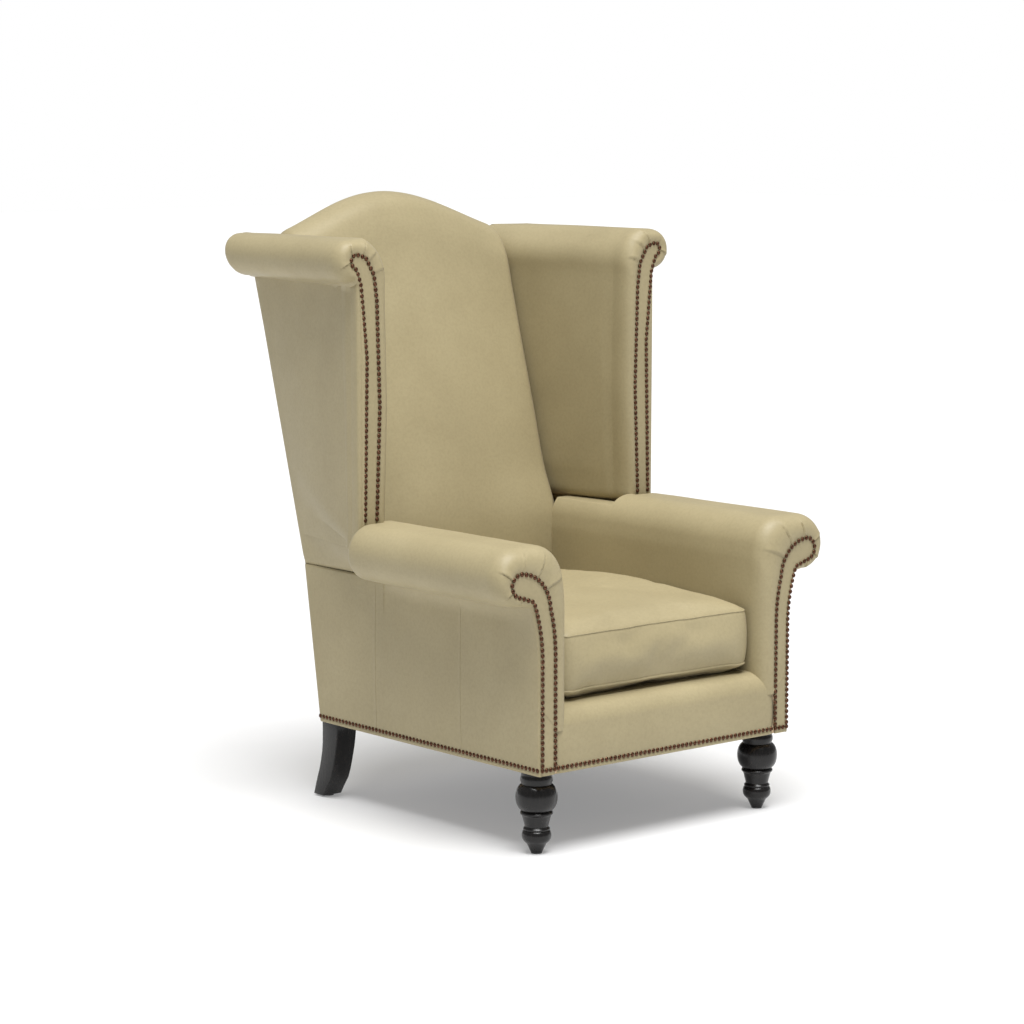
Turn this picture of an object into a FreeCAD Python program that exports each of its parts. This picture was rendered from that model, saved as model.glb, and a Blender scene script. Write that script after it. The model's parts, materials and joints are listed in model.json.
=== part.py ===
"""Wingback armchair in smooth leather, built as a chair maker builds it.

Drawing frame: X to the sitter's left seen from the front, Y to the back, Z up, in millimetres.
Y = 0 is the plane of the front rail and of the scroll faces of the arms, and every piece is then
moved forward by half the chair's depth, so the origin lies on the floor under its middle.
Pieces are drawn for the +X side and mirrored for the other side.
"""
import FreeCAD
import Part
import math
import os
import re
import Sketcher

SIZES = [
    # Overall
    ("leg_height", 165, "floor to the underside of the upholstered base"),
    ("base_width", 680, "across the outside arm panels"),
    ("base_depth", 715, "front rail face to back cover, at the bottom edge"),
    ("arm_thickness", 77, "inside arm to outside arm panel"),
    ("arm_height", 616, "floor to the top of the arm roll"),
    ("arm_overhang", 104, "how far the arm roll stands out past the outside arm"),
    ("arm_roll", 58, "radius of the arm roll"),
    ("arm_bow", 67, "width of the bow from the inside arm up to the top of the arm"),
    ("wing_reach", 226, "wing face to the outside back, level with the bottom edge"),
    ("wing_spread", 63, "outside wing past the outside arm, at its front edge"),
    ("wing_overhang", 50, "how far the wing roll stands out past the outside wing"),
    ("wing_roll", 44, "radius of the wing roll"),
    ("wing_thickness", 80, "wing padding at its front edge"),
    ("back_height", 1270, "floor to the top of the camel back"),
    ("wing_drop", 80, "top of the camel back down to the top of the wing roll"),
    ("camel_rise", 100, "rise of the camel back from its shoulders"),
    ("camel_reach", 400, "half the length of one wave of the camel back"),
    ("back_side", 27, "inside arm to the side of the inside back, behind the wing"),
    ("back_foot", 53.5, "inside back to outside back, level with the bottom edge"),
    ("back_thickness", 105, "inside back to outside back, at the edges"),
    ("back_crown", 22, "extra thickness in the middle of the inside back"),
    ("rake_angle", 15.8, "lean of the back above the arm, in degrees"),
    ("lower_rake", 8.8, "lean of the outside back below the arm, in degrees"),
    ("rake_start", 493, "height where the outside back changes its lean"),
    ("arm_face_round", 38, "depth of the padded round behind the arm face"),
    ("wing_face_round", 28, "depth of the padded round behind the wing face"),
    # Seat
    ("deck_height", 296, "floor to the deck that the cushion lies on"),
    ("rail_round", 42, "radius of the padded front edge under the cushion"),
    ("cushion_side", 5, "inside arm to the cushion's side seams"),
    ("cushion_front", 24, "front rail face to the cushion's front seams"),
    ("cushion_border", 122, "height of the cushion's side border between its seams"),
    ("cushion_crown", 34, "rise of the cushion's top over its seam"),
    ("cushion_belly", 12, "drop of the cushion's underside below its seam"),
    ("cushion_bulge", 3, "how far the border bulges past the seams"),
    ("cushion_drawn", 4, "how far the seams draw in between the corners"),
    ("cushion_gap", 1.5, "air between the cushion and what it lies on"),
    # Materials
    ("leather", 2, "leather with its backing"),
    ("wadding", 12, "fibre wadding bonded under the leather of the padded covers"),
    ("wing_seat", 16, "top of the arm roll to where the wing stands on the arm"),
    ("cloth", 1, "black dust cloth, and canvas over the webbing"),
    ("timber", 24, "thickness of the frame's boards"),
    ("rail_height", 92, "height of the seat rails"),
    ("webbing_width", 50, "width of a seat or back web"),
    ("webbing", 2, "thickness of a web"),
    ("web_pitch", 95, "distance between webs"),
    ("deck_pad", 24, "foam under the deck cover"),
    # Nails
    ("nail_width", 9.5, "across a nail head"),
    ("nail_height", 3.2, "height of a nail head"),
    ("nail_pitch", 11.4, "distance between nails in a row"),
    ("nail_margin", 4.7, "nail row to the edge of the leather it holds"),
    ("base_nail_height", 12, "nail row above the bottom edge"),
    ("nail_inset", 6, "corner of the base to the first nail of a row"),
    ("nail_gap", 0.5, "nail head to the edge of a neighbouring piece"),
    # Legs
    ("front_leg_inset", 37, "outside arm panel to a front leg's axis"),
    ("front_leg_back", 52, "front rail face to a front leg's axis"),
    ("ball_width", 83.5, "diameter of the turned ball"),
    ("collar_width", 65, "diameter of the collar over the ball"),
    ("taper_width", 57, "diameter of the turned taper under the ball"),
    ("ankle_width", 46.5, "diameter where the taper ends"),
    ("ring_width", 58.6, "diameter of the ring under the taper"),
    ("toe_width", 27.5, "diameter of the toe"),
    ("rear_leg_width", 52, "a rear leg across its top"),
    ("rear_leg_inset", 2, "rear leg in from the outside arm panel"),
    ("rear_leg_kick", 46, "how far the rear leg's foot stands behind its top"),
    ("glide_width", 22, "diameter of a nylon glide"),
    ("glide_height", 3, "thickness of a nylon glide under its leg"),
    ("bolt_width", 8, "diameter of a hanger bolt"),
    ("bolt_length", 90, "length of a hanger bolt"),
    # Worked out from the sizes above
    ("seat_inner", "=base_width - 2 * arm_thickness", "between the inside arms"),
    ("wing_front", "=base_depth - wing_reach", "front rail face to the wing face"),
    ("wing_height", "=back_height - wing_drop", "floor to the top of the wing roll"),
    ("back_width", "=seat_inner + 2 * back_side", "inside back between the wings"),
    ("cushion_width", "=seat_inner - 2 * cushion_side", "across the cushion at its seams"),
    ("cushion_depth", "=base_depth - back_foot - cushion_front - cushion_gap",
     "cushion, front seam to back seam"),
    ("front_leg_across", "=base_width / 2 - front_leg_inset", "middle of the chair to a front leg's axis"),
]

document = FreeCAD.newDocument("Armchair")
sheet = document.addObject("Spreadsheet::Sheet", "Sizes")
for row, (alias, value, note) in enumerate(SIZES, start=1):
    sheet.set(f"A{row}", alias)
    sheet.set(f"B{row}", str(value))
    sheet.set(f"C{row}", note)
    sheet.setAlias(f"B{row}", alias)
document.recompute()

ALIASES = re.compile(r"\b(" + "|".join(alias for alias, value, note in SIZES) + r")\b")


def bound(formula):
    """A formula in the sheet's names, written for setExpression."""
    return ALIASES.sub(r"Sizes.\1", str(formula))


def number(formula):
    """The value of a formula in the sheet's names."""
    value = sheet.evalExpression(bound(formula))
    return float(getattr(value, "Value", value))


def mix(first, second, share):
    """The formula of a point that lies between two others."""
    return tuple(f"({a}) + ({b} - ({a})) * {share}" for a, b in zip(first, second))


# Derived lines that several pieces share
INNER = "(seat_inner / 2)"
PANEL = "(base_width / 2)"
FRAME_SIDE = "(base_width / 2 - leather)"
ROLL_X = "(base_width / 2 + arm_overhang - arm_roll)"
ROLL_Z = "(arm_height - arm_roll)"
WING_X = "(base_width / 2 + wing_spread)"
WING_ROLL_X = "(base_width / 2 + wing_spread + wing_overhang - wing_roll)"
WING_ROLL_Z = "(wing_height - wing_roll)"
WING_IN = "(base_width / 2 + wing_spread - wing_thickness)"
ARM_TUCK = "(arm_height - 2 * arm_roll)"
BREAK_Y = "(base_depth + (rake_start - leg_height) * tan(lower_rake))"
BACK_FACE = "(base_depth - back_foot)"
POST_IN = "(base_width / 2 - leather - 4 - timber)"
POST_OUT = "(base_width / 2 - leather - 4)"
RAIL_TOP = "(leg_height + leather + rail_height)"
WING_FOOT = "(arm_height - 2 * arm_roll + 60)"


def rear(height):
    """Y of the outside back at a height above the change of lean."""
    return f"({BREAK_Y} + ({height} - rake_start) * tan(rake_angle))"


def rear_low(height):
    """Y of the outside back at a height below the change of lean."""
    return f"(base_depth + ({height} - leg_height) * tan(lower_rake))"


# Half of the way from the front nail heads to the back cover's upper edge
HALF_DEPTH = (f"({BREAK_Y} + ((back_height - rake_start) / cos(rake_angle) - 52) * sin(rake_angle)"
              " - leather - nail_height) / 2")

kept = []


def place(piece):
    """Move a drawn piece from the front rail plane to the frame with its origin under the middle."""
    piece.setExpression("Placement.Base.y", bound(f"-({HALF_DEPTH})"))


def new_body(name):
    body = document.addObject("PartDesign::Body", name)
    body.Label = name
    place(body)
    return body


def keep(piece, label):
    """Give a finished piece its name and list it among those written."""
    piece.Label = label
    kept.append(piece)
    return piece


def new_sketch(body, role, offset="0", lean=None, lift=None):
    """A sketch on one of the body's own planes, moved along its normal and leaned back."""
    sketch = body.newObject("Sketcher::SketchObject", body.Name + "_sketch")
    origin = [feature for feature in body.Origin.OriginFeatures if feature.Role == role]
    sketch.AttachmentSupport = [(origin[0], "")]
    sketch.MapMode = "FlatFace"
    sketch.setExpression("AttachmentOffset.Base.z", bound(offset))
    if lean:
        sketch.AttachmentOffset.Rotation.Axis = FreeCAD.Vector(1, 0, 0)
        offset_now = sketch.AttachmentOffset
        offset_now.Rotation = FreeCAD.Rotation(FreeCAD.Vector(1, 0, 0), -number(lean))
        sketch.AttachmentOffset = offset_now
        sketch.setExpression("AttachmentOffset.Rotation.Angle", bound(f"-({lean})"))
        sketch.setExpression("AttachmentOffset.Base.y", bound(lift))
    return sketch


def pin(sketch, index, vertex, point):
    """Tie one point of a sketch to two formulas, measured from the sketch's origin."""
    for kind, formula in zip(("DistanceX", "DistanceY"), point):
        row = sketch.addConstraint(Sketcher.Constraint(kind, -1, 1, index, vertex, number(formula)))
        sketch.setExpression(f"Constraints[{row}]", bound(formula))


def draw(sketch, corners):
    """Draw a closed outline. A corner is (across, up), or four formulas where an arc leaves it:
    the corner and a point that the arc passes on its way to the next corner."""
    ends = []
    places = [FreeCAD.Vector(number(corner[0]), number(corner[1]), 0) for corner in corners]
    for position, corner in enumerate(corners):
        here = places[position]
        there = places[(position + 1) % len(corners)]
        if len(corner) == 2:
            index = sketch.addGeometry(Part.LineSegment(here, there), False)
            ends.append((index, 1, 2))
            continue
        passed = FreeCAD.Vector(number(corner[2]), number(corner[3]), 0)
        index = sketch.addGeometry(Part.Arc(here, passed, there), False)
        turns_left = (there - here).cross(passed - here).z < 0
        ends.append((index, 1, 2) if turns_left else (index, 2, 1))
    for position, corner in enumerate(corners):
        index, start, end = ends[position]
        following = ends[(position + 1) % len(corners)]
        sketch.addConstraint(Sketcher.Constraint("Coincident", index, end, following[0], following[1]))
        pin(sketch, index, start, corner[:2])
        if len(corner) == 4:
            point = sketch.addGeometry(
                Part.Point(FreeCAD.Vector(number(corner[2]), number(corner[3]), 0)), True)
            pin(sketch, point, 1, corner[2:])
            sketch.addConstraint(Sketcher.Constraint("PointOnObject", point, 1, index))
    return sketch


def pad(body, sketch, length, backward=False):
    feature = body.newObject("PartDesign::Pad", body.Name + "_pad")
    feature.Profile = sketch
    feature.setExpression("Length", bound(length))
    feature.Reversed = backward
    return feature


def loft(body, sketches, ruled=True):
    feature = body.newObject("PartDesign::AdditiveLoft", body.Name + "_loft")
    feature.Profile = sketches[0]
    feature.Sections = sketches[1:]
    feature.Ruled = ruled
    return feature


def slab(name, corners, start, length):
    """A flat piece drawn from the front, from Y = start towards the back."""
    body = new_body(name)
    sketch = draw(new_sketch(body, "XZ_Plane", f"-({start})"), corners)
    pad(body, sketch, length, backward=True)
    return body


def side_slab(name, corners, start, length):
    """A flat piece drawn from the side, from X = start outwards."""
    body = new_body(name)
    sketch = draw(new_sketch(body, "YZ_Plane", start), corners)
    pad(body, sketch, length)
    return body


def plan_slab(name, corners, start, length):
    """A flat piece drawn in plan, from Z = start upwards."""
    body = new_body(name)
    sketch = draw(new_sketch(body, "XY_Plane", start), corners)
    pad(body, sketch, length)
    return body


def box(low, high):
    """The corners of a rectangle."""
    return [(low[0], low[1]), (high[0], low[1]), (high[0], high[1]), (low[0], high[1])]


def cut(name, base, tools):
    """A piece with the pieces that lie inside it cut out."""
    result = base
    for step, tool in enumerate(tools):
        feature = document.addObject("Part::Cut", f"{name}_cut_{step}")
        feature.Base = result
        feature.Tool = tool
        result = feature
    return result


def common(name, base, tool):
    feature = document.addObject("Part::Common", name)
    feature.Base = base
    feature.Tool = tool
    return feature


def fuse(name, pieces):
    feature = document.addObject("Part::MultiFuse", name)
    feature.Shapes = pieces
    return feature


def mirror(piece, name):
    """The same piece for the other side."""
    feature = document.addObject("Part::Mirroring", name)
    feature.Source = piece
    feature.Normal = FreeCAD.Vector(1, 0, 0)
    return feature


def both_sides(piece, stem):
    """Keep a +X piece and its mirror image: the +X side is the sitter's left."""
    keep(piece, f"{stem}_left")
    keep(mirror(piece, f"{stem}_mirror"), f"{stem}_right")
    return piece


def lean_point(forward, along):
    """A point in side view: forward of the raked outside back, and along it from the rake start."""
    return (f"{BREAK_Y} + ({along}) * sin(rake_angle) - ({forward}) * cos(rake_angle)",
            f"rake_start + ({along}) * cos(rake_angle) + ({forward}) * sin(rake_angle)")


def along(height):
    """How far along the rake a height lies."""
    return f"(({height} - rake_start) / cos(rake_angle))"


# Posts of the back
# The back post is bent where the rake starts and runs from the base up to the wing's top rail
POST_FRONT = "(leather + timber * 1.6)"


def post_face(height):
    """Y of the front of the back post at a height above the change of lean."""
    return f"({rear(height)} - {POST_FRONT} / cos(rake_angle))"


back_post = side_slab("back_post", [
    (f"{rear_low('leg_height + leather')} - leather", "leg_height + leather"),
    (f"{rear_low('rake_start')} - leather", "rake_start"),
    lean_point("leather", along("wing_height - 50")),
    lean_point(POST_FRONT, along("wing_height - 50")),
    (f"{rear_low('rake_start')} - {POST_FRONT}", "rake_start"),
    (f"{rear_low('leg_height + leather')} - {POST_FRONT}", "leg_height + leather")],
    POST_IN, "timber")


# Arms
def arm_outline(share):
    """The arm in section: share 0 is the full padded arm, share 1 the outline of its nailed face."""
    full = [
        (INNER, "deck_height"),
        (INNER, "arm_height - 96"),
        (INNER, "arm_height - 79"),
        (f"{INNER} + 3", "arm_height - 63"),
        (f"{INNER} + 21", "arm_height - 21"),
        (f"{INNER} + arm_bow", "arm_height"),
        (ROLL_X, "arm_height"),
        (f"{ROLL_X} + arm_roll * 0.7071", f"{ROLL_Z} + arm_roll * 0.7071"),
        (f"{ROLL_X} + arm_roll", ROLL_Z),
        (f"{ROLL_X} + arm_roll * 0.7071", f"{ROLL_Z} - arm_roll * 0.7071"),
        (ROLL_X, ARM_TUCK),
        (f"{FRAME_SIDE} + 14", f"{ARM_TUCK} - 4"),
        (f"{FRAME_SIDE} + 4", f"{ARM_TUCK} - 14"),
        (FRAME_SIDE, f"{ARM_TUCK} - 35"),
        (FRAME_SIDE, "deck_height"),
    ]
    face = [
        (f"{INNER} + arm_face_round", "deck_height"),
        (f"{INNER} + arm_face_round", "arm_height - 221"),
        (f"{INNER} + arm_face_round + 3", "arm_height - 169"),
        (f"{INNER} + arm_face_round + 13", "arm_height - 120"),
        (f"{INNER} + arm_face_round + 31", "arm_height - 75"),
        (f"{ROLL_X} - 18", "arm_height - 51"),
        (ROLL_X, "arm_height - 48"),
        (f"{ROLL_X} + 17", "arm_height - 54.5"),
        (f"{ROLL_X} + 25", "arm_height - 71"),
        (f"{ROLL_X} + 17", "arm_height - 87.5"),
        (f"{ROLL_X} + 2", "arm_height - 94"),
        (f"{FRAME_SIDE} + 18", "arm_height - 105"),
        (f"{FRAME_SIDE} + 2", "arm_height - 161"),
        (f"{FRAME_SIDE} - 4", "arm_height - 226"),
        (f"{FRAME_SIDE} - 4", "deck_height"),
    ]
    point = [mix(a, b, share) for a, b in zip(full, face)]
    passed = {1: 2, 3: 4, 6: 7, 8: 9, 11: 12}
    corners = []
    for row in range(len(point)):
        if row in passed:
            corners.append(point[row] + point[passed[row]])
        elif row not in passed.values():
            corners.append(point[row])
    return corners


ROUND_STEPS = [0, 45, 90]


def arm_body(name):
    """The padded arm: rounded behind its face, full to the wing, then lower beside the back."""
    body = new_body(name)
    sketches = []
    for angle in ROUND_STEPS:
        depth = f"arm_face_round * {1 - math.cos(math.radians(angle)):.5f}"
        sketch = new_sketch(body, "XZ_Plane", f"-({depth})")
        sketches.append(draw(sketch, arm_outline(f"{1 - math.sin(math.radians(angle)):.5f}")))
    end = new_sketch(body, "XZ_Plane", "-(wing_front)")
    sketches.append(draw(end, arm_outline("0")))
    loft(body, sketches)
    tail = new_sketch(body, "XZ_Plane", "-(wing_front)")
    draw(tail, [
        (f"{INNER}", "deck_height"),
        (f"{INNER}", "arm_height - 96", f"{INNER} + 14", "arm_height - 42"),
        (f"{INNER} + arm_bow", "arm_height - wing_seat"),
        (f"{FRAME_SIDE}", "arm_height - wing_seat"),
        (f"{FRAME_SIDE}", "deck_height"),
    ])
    pad(body, tail, f"{BACK_FACE} - wing_front", backward=True)
    return body


def arm_face_corners(low):
    """The nail line of the arm face, closed along the bottom at the given height."""
    corners = arm_outline("1")
    corners[0] = (corners[0][0], low)
    corners[-1] = (corners[-1][0], low)
    return corners


arm_skin = arm_body("arm_form")
arm_panel = side_slab("arm_panel", [
    ("0", "leg_height"), ("0", f"{ARM_TUCK} - 36"), ("wing_front", f"{ARM_TUCK} - 36"),
    ("wing_front", f"{ARM_TUCK} - 4"), (rear(f"{ARM_TUCK} - 4"), f"{ARM_TUCK} - 4"),
    ("base_depth", "leg_height")], FRAME_SIDE, "leather")
arm_post = cut("arm_post_fitted", slab(
    "arm_post", arm_face_corners("leg_height + leather"), "0", "timber"), [arm_panel])
# The arm board runs from the scroll post, under the wing post, to the back post
arm_board = cut("arm_board_fitted", plan_slab("arm_board", [
    ("back_width / 2 + 2", "timber"), (f"{PANEL} + 44", "timber"), (f"{PANEL} + 44", "wing_front - timber"),
    (f"{PANEL} + 30", "wing_front"), (f"{PANEL} + 30", "wing_front + timber"),
    (POST_OUT, "wing_front + 3 * timber"), (POST_OUT, post_face(WING_FOOT)),
    ("back_width / 2 + 2", post_face(WING_FOOT))], f"{WING_FOOT} - timber", "timber"), [back_post])
arm_core = slab("arm_core", [
    (f"{INNER} + wadding", "deck_height"),
    (f"{INNER} + wadding", "arm_height - 92"),
    (f"{INNER} + 21 + wadding", "arm_height - 30 - wadding"),
    (f"{INNER} + arm_bow + 4", "arm_height - wadding"),
    (f"{ROLL_X} + 4", "arm_height - wadding"),
    (f"{ROLL_X} + arm_roll - 1.5 * wadding", f"{ROLL_Z} + 18"),
    (f"{ROLL_X} + arm_roll - 1.5 * wadding", f"{ROLL_Z} - 18"),
    (f"{ROLL_X} + 4", f"{ARM_TUCK} + wadding"),
    (f"{FRAME_SIDE} + 2", f"{ARM_TUCK} - 4"),
    (f"{FRAME_SIDE} - 2", f"{ARM_TUCK} - 35"),
    (f"{FRAME_SIDE} - 2", "deck_height")], "timber", "wing_front - timber - wadding")
arm_core_tail = slab("arm_core_tail", [
    (f"{INNER} + wadding", "deck_height"),
    (f"{INNER} + wadding", "arm_height - 96"),
    (f"{INNER} + 21 + wadding", "arm_height - 48 - wadding"),
    (f"{FRAME_SIDE} - 2", f"arm_height - wing_seat - wadding"),
    (f"{FRAME_SIDE} - 2", "deck_height")], "wing_front - wadding", f"{BACK_FACE} - wing_front + wadding")
arm_filling = fuse("arm_filling", [arm_core, arm_core_tail])

both_sides(arm_post, "arm_scroll_post")
both_sides(arm_board, "arm_rail")
both_sides(cut("arm_cover", arm_skin, [arm_filling, arm_post, arm_board, arm_panel]), "inside_arm_cover")
both_sides(cut("arm_foam", arm_filling, [arm_board]), "arm_pad")
both_sides(arm_panel, "outside_arm_cover")


# Back
def rear_sketch(body, inset):
    """A sketch in the raked plane of the outside back, moved forward by the inset."""
    return new_sketch(body, "XZ_Plane", f"-({BREAK_Y} - ({inset}))", lean="rake_angle", lift="rake_start")


def camel(across):
    """Height of the back's top at a distance from the middle."""
    return f"(back_height - camel_rise * (1 - cos(180 * ({across}) / camel_reach)) / 2)"


camel_rail = new_body("camel_rail")
camel_sketch = draw(rear_sketch(camel_rail, "leather + 10"), [
    (f"-({POST_IN})", along("wing_height - 96")),
    (POST_IN, along("wing_height - 96")),
    (POST_IN, along("wing_height - 60")),
    ("camel_reach * 0.45", along(camel("camel_reach * 0.45")) + " - 60",
     "0", along("back_height") + " - 44"),
    ("-camel_reach * 0.45", along(camel("camel_reach * 0.45")) + " - 60"),
    (f"-({POST_IN})", along("wing_height - 60"))])
pad(camel_rail, camel_sketch, "timber")


def back_corners(across, share):
    """The inside back in side view; share runs from 0 in the middle to 1 at the wings."""
    crown = f"back_crown * {1 - share ** 2:.4f}"
    top = f"({along(camel(across))} - 14)"
    lumbar = "rake_start + 60"
    return [
        (BACK_FACE, "deck_height"),
        (BACK_FACE, lumbar),
        lean_point(f"back_thickness + {crown}", along("rake_start + 230")),
        lean_point(f"back_thickness + {crown}", along("rake_start + 420")),
        lean_point(f"back_thickness + {crown} * 0.3", f"{top} - 68"),
        lean_point(f"back_thickness - 11 + {crown} * 0.3", f"{top} - 32"),
        lean_point("back_thickness - 34", f"{top} - 8"),
        lean_point("back_thickness - 66", f"{top} + 1"),
        lean_point("leather + 11", f"{top} - 11"),
        lean_point("leather", f"{top} - 38"),
        lean_point("leather", "0"),
        (f"{rear_low('deck_height')} - leather", "deck_height"),
    ]


def back_body(name, shares):
    body = new_body(name)
    sketches = []
    for share in shares:
        across = f"(back_width / 2) * {share}"
        sketches.append(draw(new_sketch(body, "YZ_Plane", across), back_corners(across, abs(share))))
    loft(body, sketches)
    return body


BACK_SHARES = [-1, -0.75, -0.5, -0.25, 0, 0.25, 0.5, 0.75, 1]
back_skin = back_body("back_form", BACK_SHARES)
back_zone = side_slab("back_zone", [
    (f"{BACK_FACE} + wadding", "deck_height"),
    (f"{BACK_FACE} + wadding", "rake_start + 60"),
    lean_point("back_thickness - wadding", along("wing_height - 96")),
    lean_point("2 * leather + 8", along("wing_height - 96")),
    lean_point("2 * leather + 8", "0"),
    (f"{rear_low('deck_height')} - 2 * leather - 8", "deck_height")],
    "-(back_width / 2 - wadding)", "back_width - 2 * wadding")
lower_rail = side_slab("lower_rail", [
    (f"{rear_low('deck_height + 30')} - leather - 1.5 * timber", "deck_height + 30"),
    (f"{rear_low('deck_height + 30')} - leather", "deck_height + 30"),
    (f"{rear_low('deck_height + 90')} - leather", "deck_height + 90"),
    (f"{rear_low('deck_height + 90')} - leather - 1.5 * timber", "deck_height + 90")],
    f"-({POST_IN})", f"2 * {POST_IN}")


# Wings
def wing_outline(kind):
    """The wing in section: its nailed face, its full front, or its raked rear end."""
    if kind == "face":
        return [
            (f"{WING_IN} + 36", "arm_height - wing_seat"),
            (f"{WING_IN} + 27", "arm_height + 234"),
            (f"{WING_IN} + 33", "wing_height - 125"),
            (f"{WING_IN} + 40", "wing_height - 72"),
            (f"{WING_ROLL_X} - 25", "wing_height - 36"),
            (f"{WING_ROLL_X} - 6", "wing_height - 31", f"{WING_ROLL_X} + 6", "wing_height - 33"),
            (f"{WING_ROLL_X} + 11", "wing_height - 43", f"{WING_ROLL_X} + 8", "wing_height - 52"),
            (f"{WING_ROLL_X} - 2", "wing_height - 60"),
            (f"{WING_X} - 7", "wing_height - 92"),
            (f"{WING_X} - 21", "arm_height + 334"),
            (f"{WING_X} - 14", "arm_height - 56"),
            (f"{PANEL} + 20", f"{ARM_TUCK} + 20"),
            (f"{PANEL} + 6", f"{ARM_TUCK} + 10"),
            (f"{FRAME_SIDE} - 6", "arm_height - wing_seat"),
        ]
    behind = kind == "rear"
    roll_x = f"{WING_ROLL_X} - 14" if behind else WING_ROLL_X
    inside = "back_width / 2" if behind else f"{WING_IN} + 3"
    outside = f"{PANEL}" if behind else WING_X
    low = f"{inside} + 2" if behind else PANEL
    top_in = "wing_height - 2" if behind else "wing_height + 2"
    diagonal = "wing_roll * 0.7071"
    return [
        (low, "arm_height - wing_seat"),
        (inside if behind else f"{inside} - 5", "arm_height + 234"),
        (inside, "wing_height - 90"),
        (f"{inside} + 12", "wing_height - 28"),
        (f"{inside} + 49", top_in),
        (roll_x, "wing_height", f"{roll_x} + {diagonal}", f"{WING_ROLL_Z} + {diagonal}"),
        (f"{roll_x} + wing_roll", WING_ROLL_Z, f"{roll_x} + {diagonal}", f"{WING_ROLL_Z} - {diagonal}"),
        (roll_x, f"{WING_ROLL_Z} - wing_roll"),
        (outside, f"{WING_ROLL_Z} - wing_roll - 8"),
        (f"{outside} + 1", "arm_height + 334"),
        (outside, "arm_height - 56"),
        (outside if behind else f"{outside} - 18", f"{ARM_TUCK} + 16"),
        (f"{PANEL} - 4" if behind else PANEL, f"{ARM_TUCK} - 4"),
        (f"{FRAME_SIDE} - 6", "arm_height - wing_seat - 6"),
    ]


def leaned(corners):
    """The same outline for a sketch that leans back with the rake, from where the rake starts."""
    result = []
    for corner in corners:
        formulas = list(corner)
        for up in range(1, len(formulas), 2):
            formulas[up] = f"({formulas[up]} - rake_start) / cos(rake_angle)"
        result.append(tuple(formulas))
    return result


def wing_body(name):
    """The padded wing, rounded behind its face and lofted to the raked outside back."""
    body = new_body(name)
    face = wing_outline("face")
    front = wing_outline("front")
    sketches = []
    for angle in ROUND_STEPS:
        depth = f"wing_front + wing_face_round * {1 - math.cos(math.radians(angle)):.5f}"
        share = f"{1 - math.sin(math.radians(angle)):.5f}"
        sketch = new_sketch(body, "XZ_Plane", f"-({depth})")
        sketches.append(draw(sketch, [mix(a, b, share) for a, b in zip(front, face)]))
    end = rear_sketch(body, "leather / cos(rake_angle)")
    sketches.append(draw(end, leaned(wing_outline("rear"))))
    loft(body, sketches)
    return body


wing_skin = wing_body("wing_form")
wing_plan = plan_slab("wing_plan", [
    (f"{WING_IN} + 17 + wadding", "wing_front + timber"), (f"{WING_X} - wadding", "wing_front + timber"),
    (f"{PANEL} - wadding / 2", BREAK_Y), (f"{PANEL} - wadding / 2", f"{BREAK_Y} + 240"),
    ("back_width / 2 + 2 + wadding", f"{BREAK_Y} + 240"), ("back_width / 2 + 14 + wadding", BREAK_Y)],
    WING_FOOT, f"wing_height - 108 - {WING_FOOT}")
wing_side = side_slab("wing_side", [
    ("wing_front + timber", WING_FOOT), lean_point("wadding", along(WING_FOOT)),
    lean_point("wadding", along("wing_height - wadding")), ("wing_front + timber", "wing_height - wadding")],
    "back_width / 2", f"{WING_ROLL_X} + wing_roll - back_width / 2")
wing_top = slab("wing_top", [
    (f"{WING_IN} + 9 + wadding", "wing_height - 108"),
    (f"{WING_IN} + 30 + wadding", "wing_height - 22 - wadding"),
    (f"{WING_ROLL_X} - 14", "wing_height - wadding"),
    (f"{WING_ROLL_X} + wing_roll - 14 - 1.5 * wadding", WING_ROLL_Z),
    (f"{WING_ROLL_X} - 18", f"{WING_ROLL_Z} - wing_roll + wadding"),
    (f"{PANEL} + 30", f"{WING_ROLL_Z} - wing_roll + wadding"),
    (f"{PANEL} + 10", "wing_height - 108")], "wing_front + timber", "500")
wing_core = cut("wing_core_fitted", common(
    "wing_core", fuse("wing_blocks", [wing_plan, wing_top]), wing_side), [arm_skin])
wing_post = slab("wing_post", wing_outline("face")[:-3] + [(f"{WING_IN} + 32", WING_FOOT)],
                 "wing_front", "timber")


# The wing's top rail runs in from the wing post to the back post
wing_rail = cut("wing_rail_fitted", plan_slab("wing_rail", [
    (f"{WING_IN} + 47", "wing_front + timber"), (f"{WING_IN} + 47 + timber", "wing_front + timber"),
    (POST_OUT, post_face("wing_height - 50")), (POST_IN, post_face("wing_height - 50"))],
    "wing_height - 50 - timber", "timber"), [back_post])

wing_shell = cut("wing_shell", wing_skin, [
    wing_core, wing_post, wing_rail, back_post, camel_rail, arm_skin, arm_board])
wing_zone = plan_slab("wing_zone", [
    (f"{WING_X} - 34", "wing_front - 9"), (f"{WING_X} + 200", "wing_front - 9"),
    (f"{WING_X} + 200", "base_depth + 400"), ("back_width / 2 + 26", "base_depth + 400"),
    ("back_width / 2 + 26", f"{BREAK_Y}")], f"{ARM_TUCK} - 9", f"{WING_ROLL_Z} - wing_roll - {ARM_TUCK}")
both_sides(wing_post, "wing_scroll_post")
both_sides(back_post, "back_post")
both_sides(wing_rail, "wing_top_rail")
both_sides(cut("wing_inside", wing_shell, [wing_zone]), "inside_wing_cover")
both_sides(common("wing_outside", wing_shell, wing_zone), "outside_wing_cover")
both_sides(cut("wing_foam", wing_core, [back_post, wing_rail, camel_rail]), "wing_pad")


# Covers of the back
keep(camel_rail, "camel_top_rail")
keep(lower_rail, "lower_back_rail")
keep(cut("back_cover", back_skin, [back_zone, camel_rail, lower_rail, back_post,
                                  mirror(back_post, "back_post_twin")]), "inside_back_cover")
keep(cut("back_foam", back_zone, [lower_rail, camel_rail]), "back_pad")

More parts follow.
